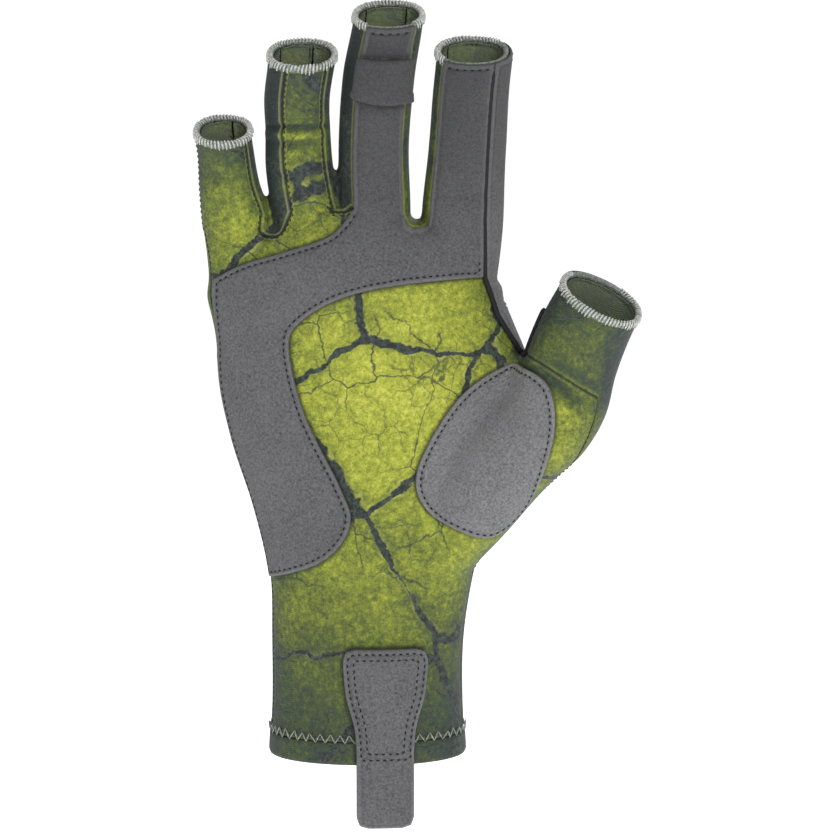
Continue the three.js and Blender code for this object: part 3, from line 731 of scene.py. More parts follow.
def finishPiece(bm, name, materials, nodes, wall):
    bm.verts.layers.float_vector.remove(bm.verts.layers.float_vector["outward"])
    bmesh.ops.scale(bm, vec=(mm, mm, mm), verts=bm.verts)
    for face in bm.faces:
        face.smooth = True
    mesh = bpy.data.meshes.new(name)
    bm.to_mesh(mesh)
    bm.free()
    return dress(mesh, name, materials, nodes, wall)


def dress(mesh, name, materials, nodes=(), wall=0.0):
    piece = bpy.data.objects.new(name, mesh)
    bpy.context.scene.collection.objects.link(piece)
    for material in materials:
        mesh.materials.append(material)
    if wall:
        thick = piece.modifiers.new("wall", "SOLIDIFY")
        thick.thickness = wall * mm
        thick.offset = -1
        thick.material_offset = len(materials) - 1
    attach(piece, "root")
    if nodes:
        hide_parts(*nodes)
    return piece


# Lines on the form, for stitches and seams

def trace(values, level, where=None):
    # the lines on the form where the values pass the level, as places and normals
    above = values > level
    mixed = above[corners].any(axis=1) & ~above[corners].all(axis=1)
    if where is not None:
        mixed &= where[corners].all(axis=1)
    shares, links = {}, {}
    for triangle in corners[mixed].tolist():
        ends = []
        for i, j in zip(triangle, triangle[1:] + triangle[:1]):
            i, j = min(i, j), max(i, j)
            if above[i] != above[j]:
                shares[i, j] = (level - values[i]) / (values[j] - values[i])
                ends.append((i, j))
        for one, other in (ends, ends[::-1]):
            links.setdefault(one, []).append(other)
    unused = dict.fromkeys([key for key in links if len(links[key]) == 1])
    unused.update(dict.fromkeys(links))
    lines = []
    while unused:
        line = [next(iter(unused))]
        del unused[line[0]]
        step = [key for key in links[line[0]] if key in unused]
        while step:
            line.append(step[0])
            del unused[step[0]]
            step = [key for key in links[line[-1]] if key in unused]
        if len(line) > 2 and line[0] in links[line[-1]]:
            line.append(line[0])
        if len(line) > 4:
            i, j = np.array(line).T
            share = np.array([shares[key] for key in line])[:, None]
            place = spots[i] * (1 - share) + spots[j] * share
            normal = outward[i] * (1 - share) + outward[j] * share
            lines.append((place, normal))
    return lines


def evenly(line, pitch):
    # places, normals and directions at even steps along a line
    place, normal = line
    lengths = np.concatenate([[0], np.cumsum(np.linalg.norm(np.diff(place, axis=0), axis=1))])
    count = max(int(lengths[-1] / pitch), 2)
    where = (np.arange(count) + 0.5) * lengths[-1] / count
    spot = np.stack([np.interp(where, lengths, place[:, k]) for k in range(3)], axis=1)
    up = np.stack([np.interp(where, lengths, normal[:, k]) for k in range(3)], axis=1)
    up /= np.linalg.norm(up, axis=1)[:, None]
    ahead = np.gradient(spot, axis=0)
    closed = np.linalg.norm(place[0] - place[-1]) < 1e-6
    if closed:
        ahead[0] = spot[1] - spot[-1]
        ahead[-1] = spot[0] - spot[-2]
    ahead -= up * (ahead * up).sum(axis=1)[:, None]
    ahead /= np.linalg.norm(ahead, axis=1)[:, None]
    return spot, up, ahead


def shapeArrays(bm):
    bm.verts.index_update()
    verts = np.array([vert.co[:] for vert in bm.verts])
    faces = [[vert.index for vert in face.verts] for face in bm.faces]
    bm.free()
    return verts, faces


def dashShape(length, width, height):
    bm = bmesh.new()
    bmesh.ops.create_uvsphere(bm, u_segments=8, v_segments=6, radius=0.5)
    bmesh.ops.scale(bm, vec=(length, width, height), verts=bm.verts)
    return shapeArrays(bm)


def sweepShape(path, radius, sides):
    path = np.array(path, dtype=float)
    ahead = np.gradient(path, axis=0)
    ahead /= np.linalg.norm(ahead, axis=1)[:, None]
    angles = np.arange(sides) / sides * 2 * np.pi
    rings = []
    guide = np.array([0.3, 0.2, 1.0])
    for index, (spot, way) in enumerate(zip(path, ahead)):
        u = np.cross(way, guide)
        u /= np.linalg.norm(u)
        v = np.cross(way, u)
        guide = np.cross(u, way)
        size = radius * (0.55 if index in (0, len(path) - 1) else 1)
        rings.append(spot + size * (np.outer(np.cos(angles), u) + np.outer(np.sin(angles), v)))
    return shapeArrays(loft(rings))


def copies(shape, spot, bases):
    # one joined mesh's arrays from a small shape repeated at each place
    verts, faces = shape
    made = np.einsum("kij,nj->kni", bases, verts) + spot[:, None, :]
    count = len(verts)
    starts = [copy * count for copy in range(len(spot))]
    allFaces = [[corner + start for corner in face] for start in starts for face in faces]
    return made.reshape(-1, 3), allFaces


def joined(parts):
    verts, faces, start = [], [], 0
    for partVerts, partFaces in parts:
        verts.append(partVerts)
        faces += [[corner + start for corner in face] for face in partFaces]
        start += len(partVerts)
    return np.vstack(verts), faces


def threadPiece(parts, name, material):
    verts, faces = joined(parts)
    mesh = bpy.data.meshes.new(name)
    mesh.from_pydata((verts * mm).tolist(), [], faces)
    mesh.shade_smooth()
    return dress(mesh, name, [material])


def dashRow(lines, stitch, lift):
    parts = []
    shape = dashShape(stitch["length"], stitch["width"], stitch["height"])
    for line in lines:
        spot, up, ahead = evenly(line, stitch["pitch"])
        ahead = ahead + chance.normal(0, stitch["wander"], ahead.shape)
        ahead /= np.linalg.norm(ahead, axis=1)[:, None]
        across = np.cross(up, ahead)
        bases = np.stack([ahead, across, up], axis=2)
        parts.append(copies(shape, spot + up * lift, bases))
    return parts


# Materials

def tint(text):
    parts = [int(text[i:i + 2], 16) / 255 for i in (0, 2, 4)]
    return (*[c / 12.92 if c <= 0.04045 else ((c + 0.055) / 1.055) ** 2.4 for c in parts], 1)


def add(tree, kind, values=None, **settings):
    # a node, its settings, and for each input a link or a constant
    made = tree.nodes.new(kind)
    for key, value in settings.items():
        setattr(made, key, value)
    for key, value in (values or {}).items():
        if isinstance(value, bpy.types.NodeSocket):
            tree.links.new(value, made.inputs[key])
        else:
            made.inputs[key].default_value = value
    return made


def calc(tree, operation, a, b=0.0):
    return add(tree, "ShaderNodeMath", {0: a, 1: b}, operation=operation).outputs[0]


def plus(tree, a, b):
    return calc(tree, "ADD", a, b)


def times(tree, a, b):
    return calc(tree, "MULTIPLY", a, b)


def apart(tree, a, b):
    return calc(tree, "ABSOLUTE", calc(tree, "SUBTRACT", a, b))


def partOf(tree, vector, axis):
    return add(tree, "ShaderNodeSeparateXYZ", {0: vector}).outputs[axis]


def remap(tree, value, fromLow, fromHigh, toLow=0.0, toHigh=1.0):
    values = {"Value": value, "From Min": fromLow, "From Max": fromHigh,
              "To Min": toLow, "To Max": toHigh}
    return add(tree, "ShaderNodeMapRange", values, interpolation_type="SMOOTHSTEP").outputs[0]


def grainOf(tree, vector, scale, detail=3.0, roughness=0.5, output="Fac"):
    values = {"Vector": vector, "Scale": scale, "Detail": detail, "Roughness": roughness}
    return add(tree, "ShaderNodeTexNoise", values).outputs[output]


def blend(tree, factor, a, b):
    values = {0: factor, 6: a, 7: b}
    return add(tree, "ShaderNodeMix", values, data_type="RGBA").outputs[2]


def ramp(tree, value, stops):
    node = add(tree, "ShaderNodeValToRGB", {"Fac": value})
    elements = node.color_ramp.elements
    for index, (at, colour) in enumerate(stops):
        element = elements[index] if index < 2 else elements.new(at)
        element.position = at
        element.color = tint(colour)
    return node.outputs[0]


def newGroup(name, inputs, outputs):
    tree = bpy.data.node_groups.new(name, "ShaderNodeTree")
    for label, kind in inputs:
        tree.interface.new_socket(label, in_out="INPUT", socket_type=kind)
    for label, kind in outputs:
        tree.interface.new_socket(label, in_out="OUTPUT", socket_type=kind)
    return tree, tree.nodes.new("NodeGroupInput"), tree.nodes.new("NodeGroupOutput")


def useGroup(tree, group, **values):
    return add(tree, "ShaderNodeGroup", values, node_tree=group)


crackPrint = {
    "stretch": (1, 0.55, 1), "shift": (0.043, 0.02, 0.011),
    "warps": [(26, 2.0, 0.010), (130, 3.0, 0.0055), (600, 4.0, 0.0011)],  # scale, detail, reach
    "wideScale": 21.0, "hairScale": 44.0, "hairWidth": 0.010, "fineScale": 95.0,
    # a grain's scale, detail and roughness, and how far it swings about zero
    "swings": {"fray": ((620, 4, 0.7), 0.022), "blotch": ((44, 6, 0.7), 0.6),
               "mottle": ((520, 8, 0.9), 1.8)},
    # a grain, the range it is read over and the range it gives
    "masks": {
        "wide": ((24, 2), 0.34, 0.6, 0.0, 0.034), "hair": ((27, 2), 0.42, 0.52),
        "fine": ((45, 2), 0.52, 0.6), "speck": ((1000, 3, 0.65), 0.58, 0.7, 0.0, 0.55),
        "fray": ((260, 4, 0.7), 0.45, 0.65, 0.0, 0.42), "inner": ((640, 5, 0.75), 0.38, 0.66),
    },
    "stops": [(0.0, "d0d25c"), (0.2, "abb137"), (0.36, "87922a"), (0.52, "626e24"),
              (0.68, "445125"), (0.84, "2f3e32"), (1.0, "1f2b2a")],
    "speck": "38451f", "crackDark": "10181b", "crackPale": "424d45", "fray": "d9dc78",
}


def stonePrintGroup():
    c = crackPrint
    tree, given, out = newGroup(
        "stonePrint", [("Vector", "NodeSocketVector"), ("Shade", "NodeSocketFloat")],
        [("Color", "NodeSocketColor")],
    )
    vector, shade = given.outputs["Vector"], given.outputs["Shade"]

    def vectorCalc(operation, values):
        return add(tree, "ShaderNodeVectorMath", values, operation=operation).outputs[0]

    def edges(scale):
        values = {"Vector": place, "Scale": scale}
        made = add(tree, "ShaderNodeTexVoronoi", values, feature="DISTANCE_TO_EDGE")
        return made.outputs["Distance"]

    def swing(name):
        grain, reach = c["swings"][name]
        return times(tree, calc(tree, "SUBTRACT", grainOf(tree, vector, *grain), 0.5), reach)

    def mask(name):
        grain, *limits = c["masks"][name]
        return remap(tree, grainOf(tree, vector, *grain), *limits)

    flat = {"Vector": vector, "Scale": c["stretch"], "Location": c["shift"]}
    place = add(tree, "ShaderNodeMapping", flat).outputs[0]
    for scale, detail, reach in c["warps"]:
        noise = grainOf(tree, vector, scale, detail, 0.6, "Color")
        centred = vectorCalc("SUBTRACT", {0: noise, 1: (0.5, 0.5, 0.5)})
        place = vectorCalc("ADD", {0: place, 1: vectorCalc("SCALE", {0: centred, "Scale": reach})})

    # wide cracks of changing width, hair cracks between them, and the finest in some places
    fray = swing("fray")
    wide = plus(tree, edges(c["wideScale"]), fray)
    width = mask("wide")
    widthOut = plus(tree, width, 0.004)
    wideCrack = remap(tree, wide, times(tree, width, 0.75), widthOut, 1.0, 0.0)
    hairEdge = plus(tree, edges(c["hairScale"]), times(tree, fray, 0.3))
    hair = remap(tree, hairEdge, c["hairWidth"] * 0.5, c["hairWidth"] * 1.6, 1.0, 0.0)
    hair = times(tree, times(tree, hair, mask("hair")), 0.85)
    fine = times(tree, remap(tree, edges(c["fineScale"]), 0.006, 0.03, 0.55, 0.0), mask("fine"))
    crack = calc(tree, "MAXIMUM", wideCrack, calc(tree, "MAXIMUM", hair, fine))

    # the stone's own tone, darker close to a wide crack, with specks and pale frayed edges
    near = remap(tree, wide, widthOut, plus(tree, widthOut, 0.06), 0.1, 0.0)
    tone = plus(tree, plus(tree, shade, swing("blotch")), plus(tree, swing("mottle"), near))
    colour = blend(tree, mask("speck"), ramp(tree, tone, c["stops"]), tint(c["speck"]))
    band = remap(tree, wide, plus(tree, widthOut, 0.002), plus(tree, widthOut, 0.02), 1.0, 0.0)
    dim = remap(tree, shade, 0.3, 0.75, 1.0, 0.15)
    frayed = times(tree, times(tree, band, mask("fray")), dim)
    colour = blend(tree, frayed, colour, tint(c["fray"]))
    inner = blend(tree, mask("inner"), tint(c["crackDark"]), tint(c["crackPale"]))
    tree.links.new(blend(tree, crack, colour, inner), out.inputs["Color"])
    return tree


def knitGroup():
    # columns and courses of a fine knit
    tree, given, out = newGroup(
        "knit", [("Vector", "NodeSocketVector"), ("Pitch", "NodeSocketFloat")],
        [("Height", "NodeSocketFloat")],
    )
    axes = add(tree, "ShaderNodeSeparateXYZ", {0: given.outputs["Vector"]}).outputs
    turn = calc(tree, "DIVIDE", 2 * math.pi, given.outputs["Pitch"])
    columns = calc(tree, "SINE", times(tree, plus(tree, axes[0], axes[1]), turn))
    courses = calc(tree, "SINE", times(tree, times(tree, axes[2], turn), 1.3))
    tree.links.new(times(tree, columns, courses), out.inputs["Height"])
    return tree


def napGroup():
    # short nap of suede: its colour share, its height and its dark specks
    outputs = [(name, "NodeSocketFloat") for name in ("Tone", "Height", "Speck")]
    tree, given, out = newGroup("nap", [("Vector", "NodeSocketVector")], outputs)
    vector = given.outputs["Vector"]
    fine = grainOf(tree, vector, 1300, 6, 0.75)
    broad = grainOf(tree, vector, 60, 3, 0.6)
    tone = plus(tree, times(tree, fine, 0.88), times(tree, broad, 0.12))
    speck = remap(tree, grainOf(tree, vector, 520, 2, 0.5), 0.66, 0.72)
    for name, value in (("Tone", tone), ("Height", fine), ("Speck", speck)):
        tree.links.new(value, out.inputs[name])
    return tree


stonePrint, knit, nap = stonePrintGroup(), knitGroup(), napGroup()


def newMaterial(name, **constants):
    made = bpy.data.materials.new(name)
    made.use_nodes = True
    tree = made.node_tree
    shader = tree.nodes["Principled BSDF"]
    for key, value in constants.items():
        shader.inputs[key.replace("_", " ")].default_value = value
    return made, tree, shader


def attribute(tree, name):
    return add(tree, "ShaderNodeAttribute", attribute_name=name).outputs["Fac"]


def objectPlace(tree):
    return tree.nodes.new("ShaderNodeTexCoord").outputs["Object"]


def bumpInto(tree, shader, height, strength, distance):
    values = {"Strength": strength, "Distance": distance, "Height": height}
    tree.links.new(add(tree, "ShaderNodeBump", values).outputs[0], shader.inputs["Normal"])


def printedMaterial(name, darker=0.0, paledBy=0.0, seamWidth=0.35, ridgeHighlight=0.24):
    finish = {"Roughness": 0.68, "Sheen_Weight": 0.05, "Sheen_Roughness": 0.5}
    material, tree, shader = newMaterial(name, **finish)
    place = objectPlace(tree)
    shade = plus(tree, attribute(tree, "shade"), darker)
    colour = useGroup(tree, stonePrint, Vector=place, Shade=shade).outputs["Color"]
    # painted contact shadow on the cloth just outside the suede patches and the tab
    contactShadow = remap(tree, attribute(tree, "cover"), -1.5, -0.1, 0.0, 0.6)
    colour = blend(tree, contactShadow, colour, tint("141c14"))
    # a painted highlight along the rolled ridge beside each seam, strongest on the fingers, and the
    # dark seam line itself
    edge = attribute(tree, "edge")
    ridge = remap(tree, apart(tree, edge, 1.0), 0.1, 0.55, ridgeHighlight, 0.0)
    ridge = times(tree, ridge, remap(tree, partOf(tree, place, 2), 0.14, 0.165, 0.3, 1.0))
    colour = blend(tree, ridge, colour, tint("c3c978"))
    line = remap(tree, edge, seamWidth * 0.4, seamWidth * 1.5, 0.85, 0.0)
    colour = blend(tree, line, colour, tint("161d17"))
    # paling toward a light grey-green, used to lighten the inner walls as painted fill light
    if paledBy:
        colour = blend(tree, paledBy, colour, tint("b9c4a6"))
    tree.links.new(colour, shader.inputs["Base Color"])
    weave = useGroup(tree, knit, Vector=place, Pitch=0.0008).outputs[0]
    height = plus(tree, times(tree, weave, 0.12), grainOf(tree, place, 900))
    bumpInto(tree, shader, height, 0.6, 0.0007)
    return material


def suedeMaterial(name, colours, margin=0.0):
    # margin: the pressed line under the stitch row, in millimetres from the edge; the suede outside
    # it gets a painted highlight
    finish = {"Roughness": 0.9, "Sheen_Weight": 0.1, "Sheen_Roughness": 0.6}
    material, tree, shader = newMaterial(name, **finish)
    place = objectPlace(tree)
    grain = useGroup(tree, nap, Vector=place)
    colour = ramp(tree, grain.outputs["Tone"], [(0.36, colours[0]), (0.64, colours[1])])
    colour = blend(tree, times(tree, grain.outputs["Speck"], 0.5), colour, tint("2a2a2c"))
    # darker toward the fingertips, following the shade value, which also carries the painted shade
    # of the sides and creases
    dark = remap(tree, attribute(tree, "shade"), 0.3, 0.9, 0.45, 0.75)
    dark = times(tree, remap(tree, partOf(tree, place, 2), 0.15, 0.2), dark)
    colour = blend(tree, dark, colour, tint("2b2b2d"))
    edge = attribute(tree, "edge")
    height = grain.outputs["Height"]
    if margin:
        # painted highlight: the suede between the edge and the stitch row is lighter
        pale = remap(tree, edge, margin * 0.75, margin * 1.05, 0.14, 0.0)
        colour = blend(tree, pale, colour, tint("a2a2a4"))
        height = plus(tree, height, remap(tree, apart(tree, edge, margin), 0.0, 0.8, -0.8, 0.0))
    shadow = remap(tree, attribute(tree, "underBand"), -2.6, -0.1, 0.0, 0.72)
    colour = blend(tree, shadow, colour, tint("121213"))
    # painted shade darkens the suede right at its edge, where it rounds down to the cloth
    colour = blend(tree, remap(tree, edge, 0.0, 0.35, 0.65, 0.0), colour, tint("1c1c1d"))
    tree.links.new(colour, shader.inputs["Base Color"])
    bumpInto(tree, shader, height, 0.8, 0.0013)
    return material


def threadMaterial(name, pale, dark, roughness=0.6):
    material, tree, shader = newMaterial(name, Roughness=roughness)
    place = objectPlace(tree)
    strand = grainOf(tree, place, 1400, 3, 0.6)
    tree.links.new(ramp(tree, strand, [(0.35, dark), (0.65, pale)]), shader.inputs["Base Color"])
    bumpInto(tree, shader, grainOf(tree, place, 3800, 2), 0.5, 0.00015)
    return material


printedCloth = printedMaterial("printedCloth")
# the inner walls are lightened, with a shade offset below zero and paling, as painted fill light
# against the shade inside the openings
insideCloth = printedMaterial("insideCloth", darker=-0.2, paledBy=0.35, ridgeHighlight=0.0)
hemCloth = printedMaterial("hemCloth", darker=0.02, seamWidth=0.25, ridgeHighlight=0.0)
greySuede = suedeMaterial("greySuede", ("47474a", "7f7f81"), 1.7)
paleSuede = suedeMaterial("paleSuede", ("4f4f52", "8b8b8d"), 1.5)
lightSuede = suedeMaterial("lightSuede", ("5a5a5d", "9a9a9c"), 1.7)
plainSuede = suedeMaterial("plainSuede", ("47474a", "7f7f81"))
paleThread = threadMaterial("paleThread", "d9dbd6", "969a95")
hemThread = threadMaterial("hemThread", "a3aaa0", "666e64")
edgeCloth = threadMaterial("edgeCloth", "8e958c", "565d54")
darkThread = threadMaterial("darkThread", "1d1d1f", "0c0c0d", 0.8)
mossThread = threadMaterial("mossThread", "2a3322", "141a10", 0.8)
print("materials ready")


# Cloth panels

seamRoll = {"depth": 0.5, "reach": 0.9}
panels = {
    # node, flat width and length, and flat area where the cut isn't a rectangle
    "palmPanel": ("palm_panel", (0.13, 0.25), 0.0222),
    "backPanel": ("back_panel", (0.13, 0.25), 0.025),
    "thumbPanel": ("thumb_panel", (0.08, 0.07), 0.0037),
    "fourchette_little_ring": ("fourchette_little_ring", (0.018, 0.10), 0.0017),
    "fourchette_ring_middle": ("fourchette_ring_middle", (0.018, 0.13), 0.0022),
    "fourchette_middle_index": ("fourchette_middle_index", (0.018, 0.13), 0.0022),
}


def seamGroove(distance):
    return -seamRoll["depth"] * math.exp(-(distance / seamRoll["reach"]) ** 2)


def foldedEdge(settings):
    # rises quickly from an edge that is sunk into the cloth
    def height(distance):
        return settings["stand"] * math.sqrt(min(distance / settings["roll"], 1)) - settings["sunk"]
    return height


def buildPanels():
    for name, (node, flat, area) in panels.items():
        bm = cutPiece(fields[name], (0.7,))
        stand(bm, seamGroove)
        cloths = [printedCloth, insideCloth]
        piece = finishPiece(bm, name + "Cloth", cloths, [node], clothWall)
    bm = cutPiece(fields["cuffHem"], (0.5, 1.2))
    stand(bm, foldedEdge(hem))
    cloths = [hemCloth, insideCloth]
    piece = finishPiece(bm, "cuffHemCloth", cloths, ["cuff_hem"], hem["wall"])


buildPanels()
print("cloth panels ready")


# Suede patches, pull band and pull tab

patches = {
    "palmPatch": {"node": "palm_patch", "suede": greySuede, "base": 0.3, "thick": 1.2,
                  "rows": (1.7,), "flat": (0.115, 0.20), "area": 0.0093},
    "thenarPatch": {"node": "thenar_patch", "suede": lightSuede, "base": 0.3, "thick": 1.2,
                    "rows": (1.7,), "flat": (0.052, 0.065), "area": 0.0026},
    "crotchPatch": {"node": "crotch_patch", "suede": paleSuede, "base": 0.3, "thick": 1.2,
                    "rows": (1.5, 3.4), "flat": (0.05, 0.19), "area": 0.0038},
    "pullBand": {"node": "middle_pull_band", "suede": plainSuede, "base": 1.6, "thick": 1.1,
                 "rows": (), "flat": (0.026, 0.0135), "area": 0.0003},
    "pullTab": {"node": "pull_tab", "suede": greySuede, "base": 0.7, "thick": 2.1,
                "rows": (), "flat": (0.0272, 0.06), "area": 0.00127},
}
patchEdge = {"roll": 1.1, "low": 0.25}  # how far in it rounds over, and its share of height outside
patchStitch = {"length": 1.3, "width": 0.62, "height": 0.5, "pitch": 2.15, "wander": 0.06}
sideStitch = {"length": 0.62, "width": 0.34, "height": 0.3, "pitch": 1.25, "wander": 0.06}
tabRows = (1.6, 3.6)


def roundedEdge(base, thick):
    low = patchEdge["low"]

    def height(distance):
        t = min(distance / patchEdge["roll"], 1)
        return base + thick * (low + (1 - low) * math.sqrt(1 - (1 - t) ** 2))
    return height


def liftBand(bm):
    # the band is sewn down at its top and stands off the finger toward its free lower edge
    normal = bm.verts.layers.float_vector["outward"]
    edge = bm.verts.layers.float["edge"]
    for vert in bm.verts:
        drop = min(max((bandTop - vert.co.z) / pullBand["height"], 0), 1)
        ends = min(vert[edge] / pullBand["sewn"], 1) if drop < pullBand["freeFrom"] else 1
        vert.co += vert[normal].normalized() * pullBand["lift"] * drop**1.5 * (0.4 + 0.6 * ends)


rowPlace = {"web": 0.925, "littleWeb": 1.005, "littleSide": 9, "rim": 0.6, "behind": 0.6}


def stitchPlaces(name):
    # no rows down the sides of the fingers, nor round the web of the patch
    if name == "crotchPatch":
        return behind > rowPlace["behind"]
    x, _, z = spots.T
    belowWebs = z < palmHeight * rowPlace["web"]
    belowWebs |= (z < palmHeight * rowPlace["littleWeb"]) & (x < rowPlace["littleSide"])
    return belowWebs | (rims < edging["height"] + rowPlace["rim"])


def stitchLift(name):
    return patches[name]["base"] + patches[name]["thick"] + 0.02


def buildPatches():
    for name, p in patches.items():
        bm = cutPiece(fields[name], (0.12, 0.4, 1.1))
        stand(bm, roundedEdge(p["base"], p["thick"]))
        if name == "pullBand":
            liftBand(bm)
        piece = finishPiece(bm, name + "Suede", [p["suede"]], [p["node"]], p["thick"])
        parts = []
        for row in p["rows"]:
            lines = trace(fields[name], row, stitchPlaces(name))
            parts += dashRow(lines, patchStitch, stitchLift(name))
        if parts:
            threadPiece(parts, name + "Stitches", darkThread)
    alongSide = (side > 0.3) & (rims > edging["height"])
    dots = dashRow(trace(fields["crotchPatch"], 1.1, alongSide), sideStitch, 1.3)
    threadPiece(dots, "crotchPatchDots", hemThread)
    boxField = np.minimum(fields["pullTab"], spots[:, 2] - 0.6)
    parts = []
    for row in tabRows:
        parts += dashRow(trace(boxField, row), patchStitch, stitchLift("pullTab"))
    threadPiece(parts, "pullTabStitches", darkThread)


buildPatches()
print("patches ready")


# Bound openings: a ring of cloth under slanting overlock stitches

overlock = {"pitch": 1.15, "radius": 0.34, "slant": 1.0, "low": -1.9, "top": 0.35, "reach": 0.85,
            "inward": 0.6, "stand": 0.25, "wander": 0.16, "sway": 0.2, "lean": 0.12}


def overlockStitch():
    o = overlock
    path = []
    for t in np.linspace(0, 1, 9):  # up the outside, over the edge and down inside
        angle = math.pi * t
        path.append((o["slant"] * (t - 0.5), o["reach"] * math.cos(angle) - o["inward"],
                     o["low"] + (o["top"] - o["low"]) * math.sin(angle) ** 0.55))
    return sweepShape(path, o["radius"], 6)


def buildEdging():
    shape = overlockStitch()
    for name in limbNames:
        node = f"edging_{name}"
        bm = cutPiece(fields[node], (0.5,))
        stand(bm, foldedEdge(edging))
        finishPiece(bm, node + "Ring", [edgeCloth], [node], edging["wall"])
        onLimb = (ofLimb == limbNames.index(name)) & (underSuede < 0)
        parts = []
        for line in trace(rims, 0.25, onLimb):
            spot, up, ahead = evenly(line, overlock["pitch"])
            rise = np.cross(ahead, up)
            rise *= np.sign(rise @ limbs[name]["rimAxis"])[:, None]
            size, sway, lean = [chance.normal(0, overlock[key], (len(spot), 1))
                                for key in ("wander", "sway", "lean")]
            bases = np.stack([ahead + rise * sway + up * lean, up, rise * (1 + size)], axis=2)
            parts.append(copies(shape, spot + up * overlock["stand"], bases))
        threadPiece(parts, node + "Stitches", paleThread)


buildEdging()
print("edging ready")


# Hem zigzag, finger seams and the dark seam of the thumb crotch

zigzag = {"low": 7.2, "high": 10.2, "pitch": 3.3, "radius": 0.23, "wander": 0.22,
          "overlap": 1.12, "stand": 0.42}
fingerStitch = {"length": 1.1, "width": 0.42, "height": 0.36, "pitch": 1.9, "wander": 0.08,
                "beside": 0.85, "sideSeam": 0.9, "clear": 0.8, "bare": (10, 25), "stand": 0.02}
crotchSeam = {"radius": 0.9, "step": 1.1, "rise": 15.0, "ahead": 5.0, "stand": 0.75,
              "outside": 0.15}


def buildZigzag():
    lower = trace(spots[:, 2], zigzag["low"])[0]
    spot, up, _ = evenly(lower, zigzag["pitch"])
    upper = spot + np.roll(spot, -1, axis=0)
    upper = upper / 2 + np.array([0, 0, zigzag["high"] - zigzag["low"]])
    upper += chance.normal(0, zigzag["wander"], upper.shape) * [1, 0, 1]
    shape = dashShape(1.0, 1.0, 1.0)
    parts = []
    for start, end in ((spot, upper), (upper, np.roll(spot, -1, axis=0))):
        line = end - start
        length = np.linalg.norm(line, axis=1)
        way = line / length[:, None]
        across = np.cross(up, way)
        thick = zigzag["radius"] * 2
        reach = (length * zigzag["overlap"])[:, None]
        bases = np.stack([way * reach, across * thick, up * thick], axis=2)
        parts.append(copies(shape, (start + end) / 2 + up * zigzag["stand"], bases))
    threadPiece(parts, "hemZigzag", hemThread)


def buildFingerSeams():
    parts = []
    f = fingerStitch
    for field in fourchettes:
        lines = trace(field, -f["beside"], (cloth > f["clear"]) & (fields["palmPatch"] < 0))
        parts += dashRow(lines, f, f["stand"])
    # the side seams of the hand and the fingers, where no patch covers them
    middle, half = f["bare"]
    bare = (shell > f["clear"]) & (nearPatch < -f["clear"]) & (np.abs(spots[:, 0] - middle) > half)
    parts += dashRow(trace(side, f["sideSeam"], bare), f, f["stand"])
    threadPiece(parts, "fingerSeamStitches", mossThread)


def buildCrotchSeam():
    # a rolled dark seam between the palm patch and the side strip, round the crotch, up the thumb
    field = fields["crotchPatch"]
    parts = []
    x, _, z = spots.T
    thumbSide = (x > crotchX - 3) & (outward[:, 0] < 0.2)
    thumbSide &= (z > crotchZ - 2) & (z < crotchZ + crotchSeam["rise"])
    lines = trace(field, -crotchSeam["outside"], (side > -0.9) & (rims > edging["height"]))
    lines += trace(side, crotchSeam["ahead"], thumbSide)
    for line in lines:
        spot, up, _ = evenly(line, crotchSeam["step"])
        if len(spot) > 8:
            parts.append(sweepShape(spot + up * crotchSeam["stand"], crotchSeam["radius"], 8))
    threadPiece(parts, "crotchSeam", darkThread)


buildZigzag()
buildFingerSeams()
buildCrotchSeam()
print("stitching ready")


# Floor, light and camera

studio = {
    "floorDrop": 0.14, "floorSize": 6.0, "target": (0.016, -0.008, 0.1135), "distance": 0.9,
    "elevation": 7.0, "widthSeen": 0.2745, "skyLight": 0.24, "skySeen": 0.8,
    "lights": {
        # place, size and power
        "key": ((0.5, -1.1, 0.9), 0.5, 8.6), "fill": ((-0.9, -1.0, 0.3), 0.9, 1.2),
        "backKey": ((0.5, 1.1, 0.9), 0.6, 7), "top": ((0.0, 0.1, 1.3), 0.8, 3),
    },
}


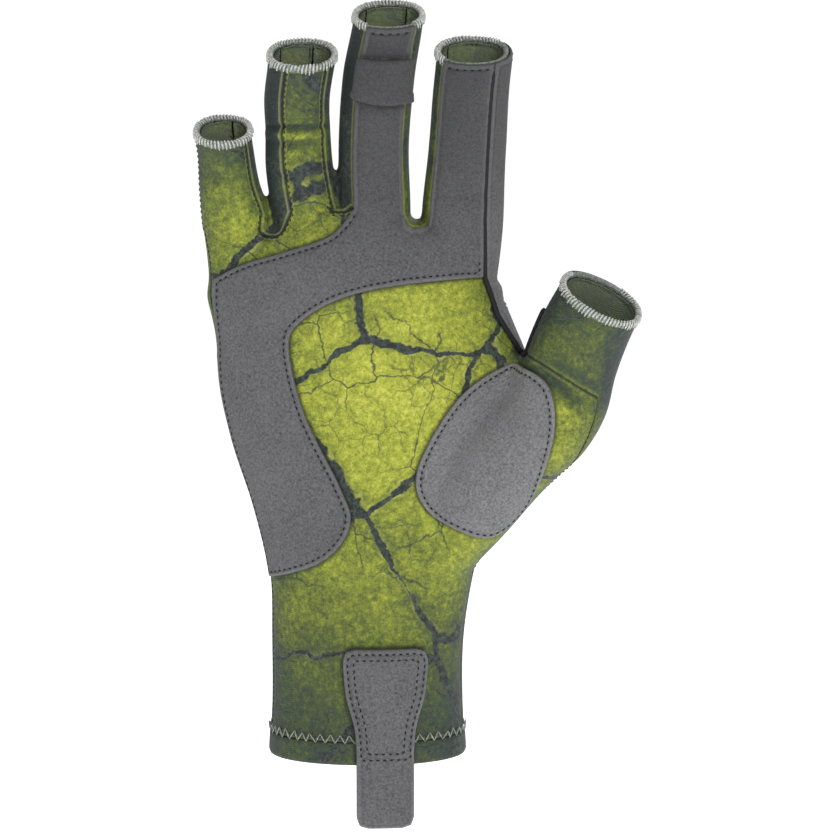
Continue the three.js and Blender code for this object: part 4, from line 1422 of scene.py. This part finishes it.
def areaLight(name, place, size, power):
    data = bpy.data.lights.new(name, "AREA")
    data.size = size
    data.energy = power
    light = bpy.data.objects.new(name, data)
    light.location = place
    aim = Vector(studio["target"]) - Vector(place)
    light.rotation_euler = aim.to_track_quat("-Z", "Y").to_euler()
    bpy.context.scene.collection.objects.link(light)


def buildStudio():
    bm = bmesh.new()
    bmesh.ops.create_grid(bm, x_segments=4, y_segments=4, size=studio["floorSize"])
    bmesh.ops.translate(bm, vec=(0, 0, -studio["floorDrop"]), verts=bm.verts)
    mesh = bpy.data.meshes.new("floor")
    bm.to_mesh(mesh)
    bm.free()
    floor = bpy.data.objects.new("floor", mesh)
    bpy.context.scene.collection.objects.link(floor)
    finish = {"Roughness": 0.9, "Base_Color": (0.93, 0.93, 0.93, 1),
              "Emission_Color": (1, 1, 1, 1), "Emission_Strength": 0.85}
    mesh.materials.append(newMaterial("paleFloor", **finish)[0])

    world = bpy.data.worlds.new("studio")
    bpy.context.scene.world = world
    world.use_nodes = True
    tree = world.node_tree
    tree.nodes.clear()
    ray = tree.nodes.new("ShaderNodeLightPath").outputs["Is Camera Ray"]
    strength = plus(tree, times(tree, ray, studio["skySeen"]), studio["skyLight"])
    sky = add(tree, "ShaderNodeBackground", {"Color": (1, 1, 1, 1), "Strength": strength})
    tree.links.new(sky.outputs[0], tree.nodes.new("ShaderNodeOutputWorld").inputs[0])

    for name, (place, size, power) in studio["lights"].items():
        areaLight(name, place, size, power)

    data = bpy.data.cameras.new("camera")
    camera = bpy.data.objects.new("camera", data)
    bpy.context.scene.collection.objects.link(camera)
    rise = math.radians(studio["elevation"])
    target = Vector(studio["target"])
    camera.location = target + Vector((0, -math.cos(rise), math.sin(rise))) * studio["distance"]
    camera.rotation_euler = (target - camera.location).to_track_quat("-Z", "Y").to_euler()
    data.sensor_fit = "HORIZONTAL"
    data.sensor_width = 36
    data.lens = 36 * studio["distance"] / studio["widthSeen"]
    bpy.context.scene.camera = camera
    bpy.context.scene.view_settings.view_transform = "Standard"


buildStudio()
bpy.data.meshes.remove(form)
print("studio ready")
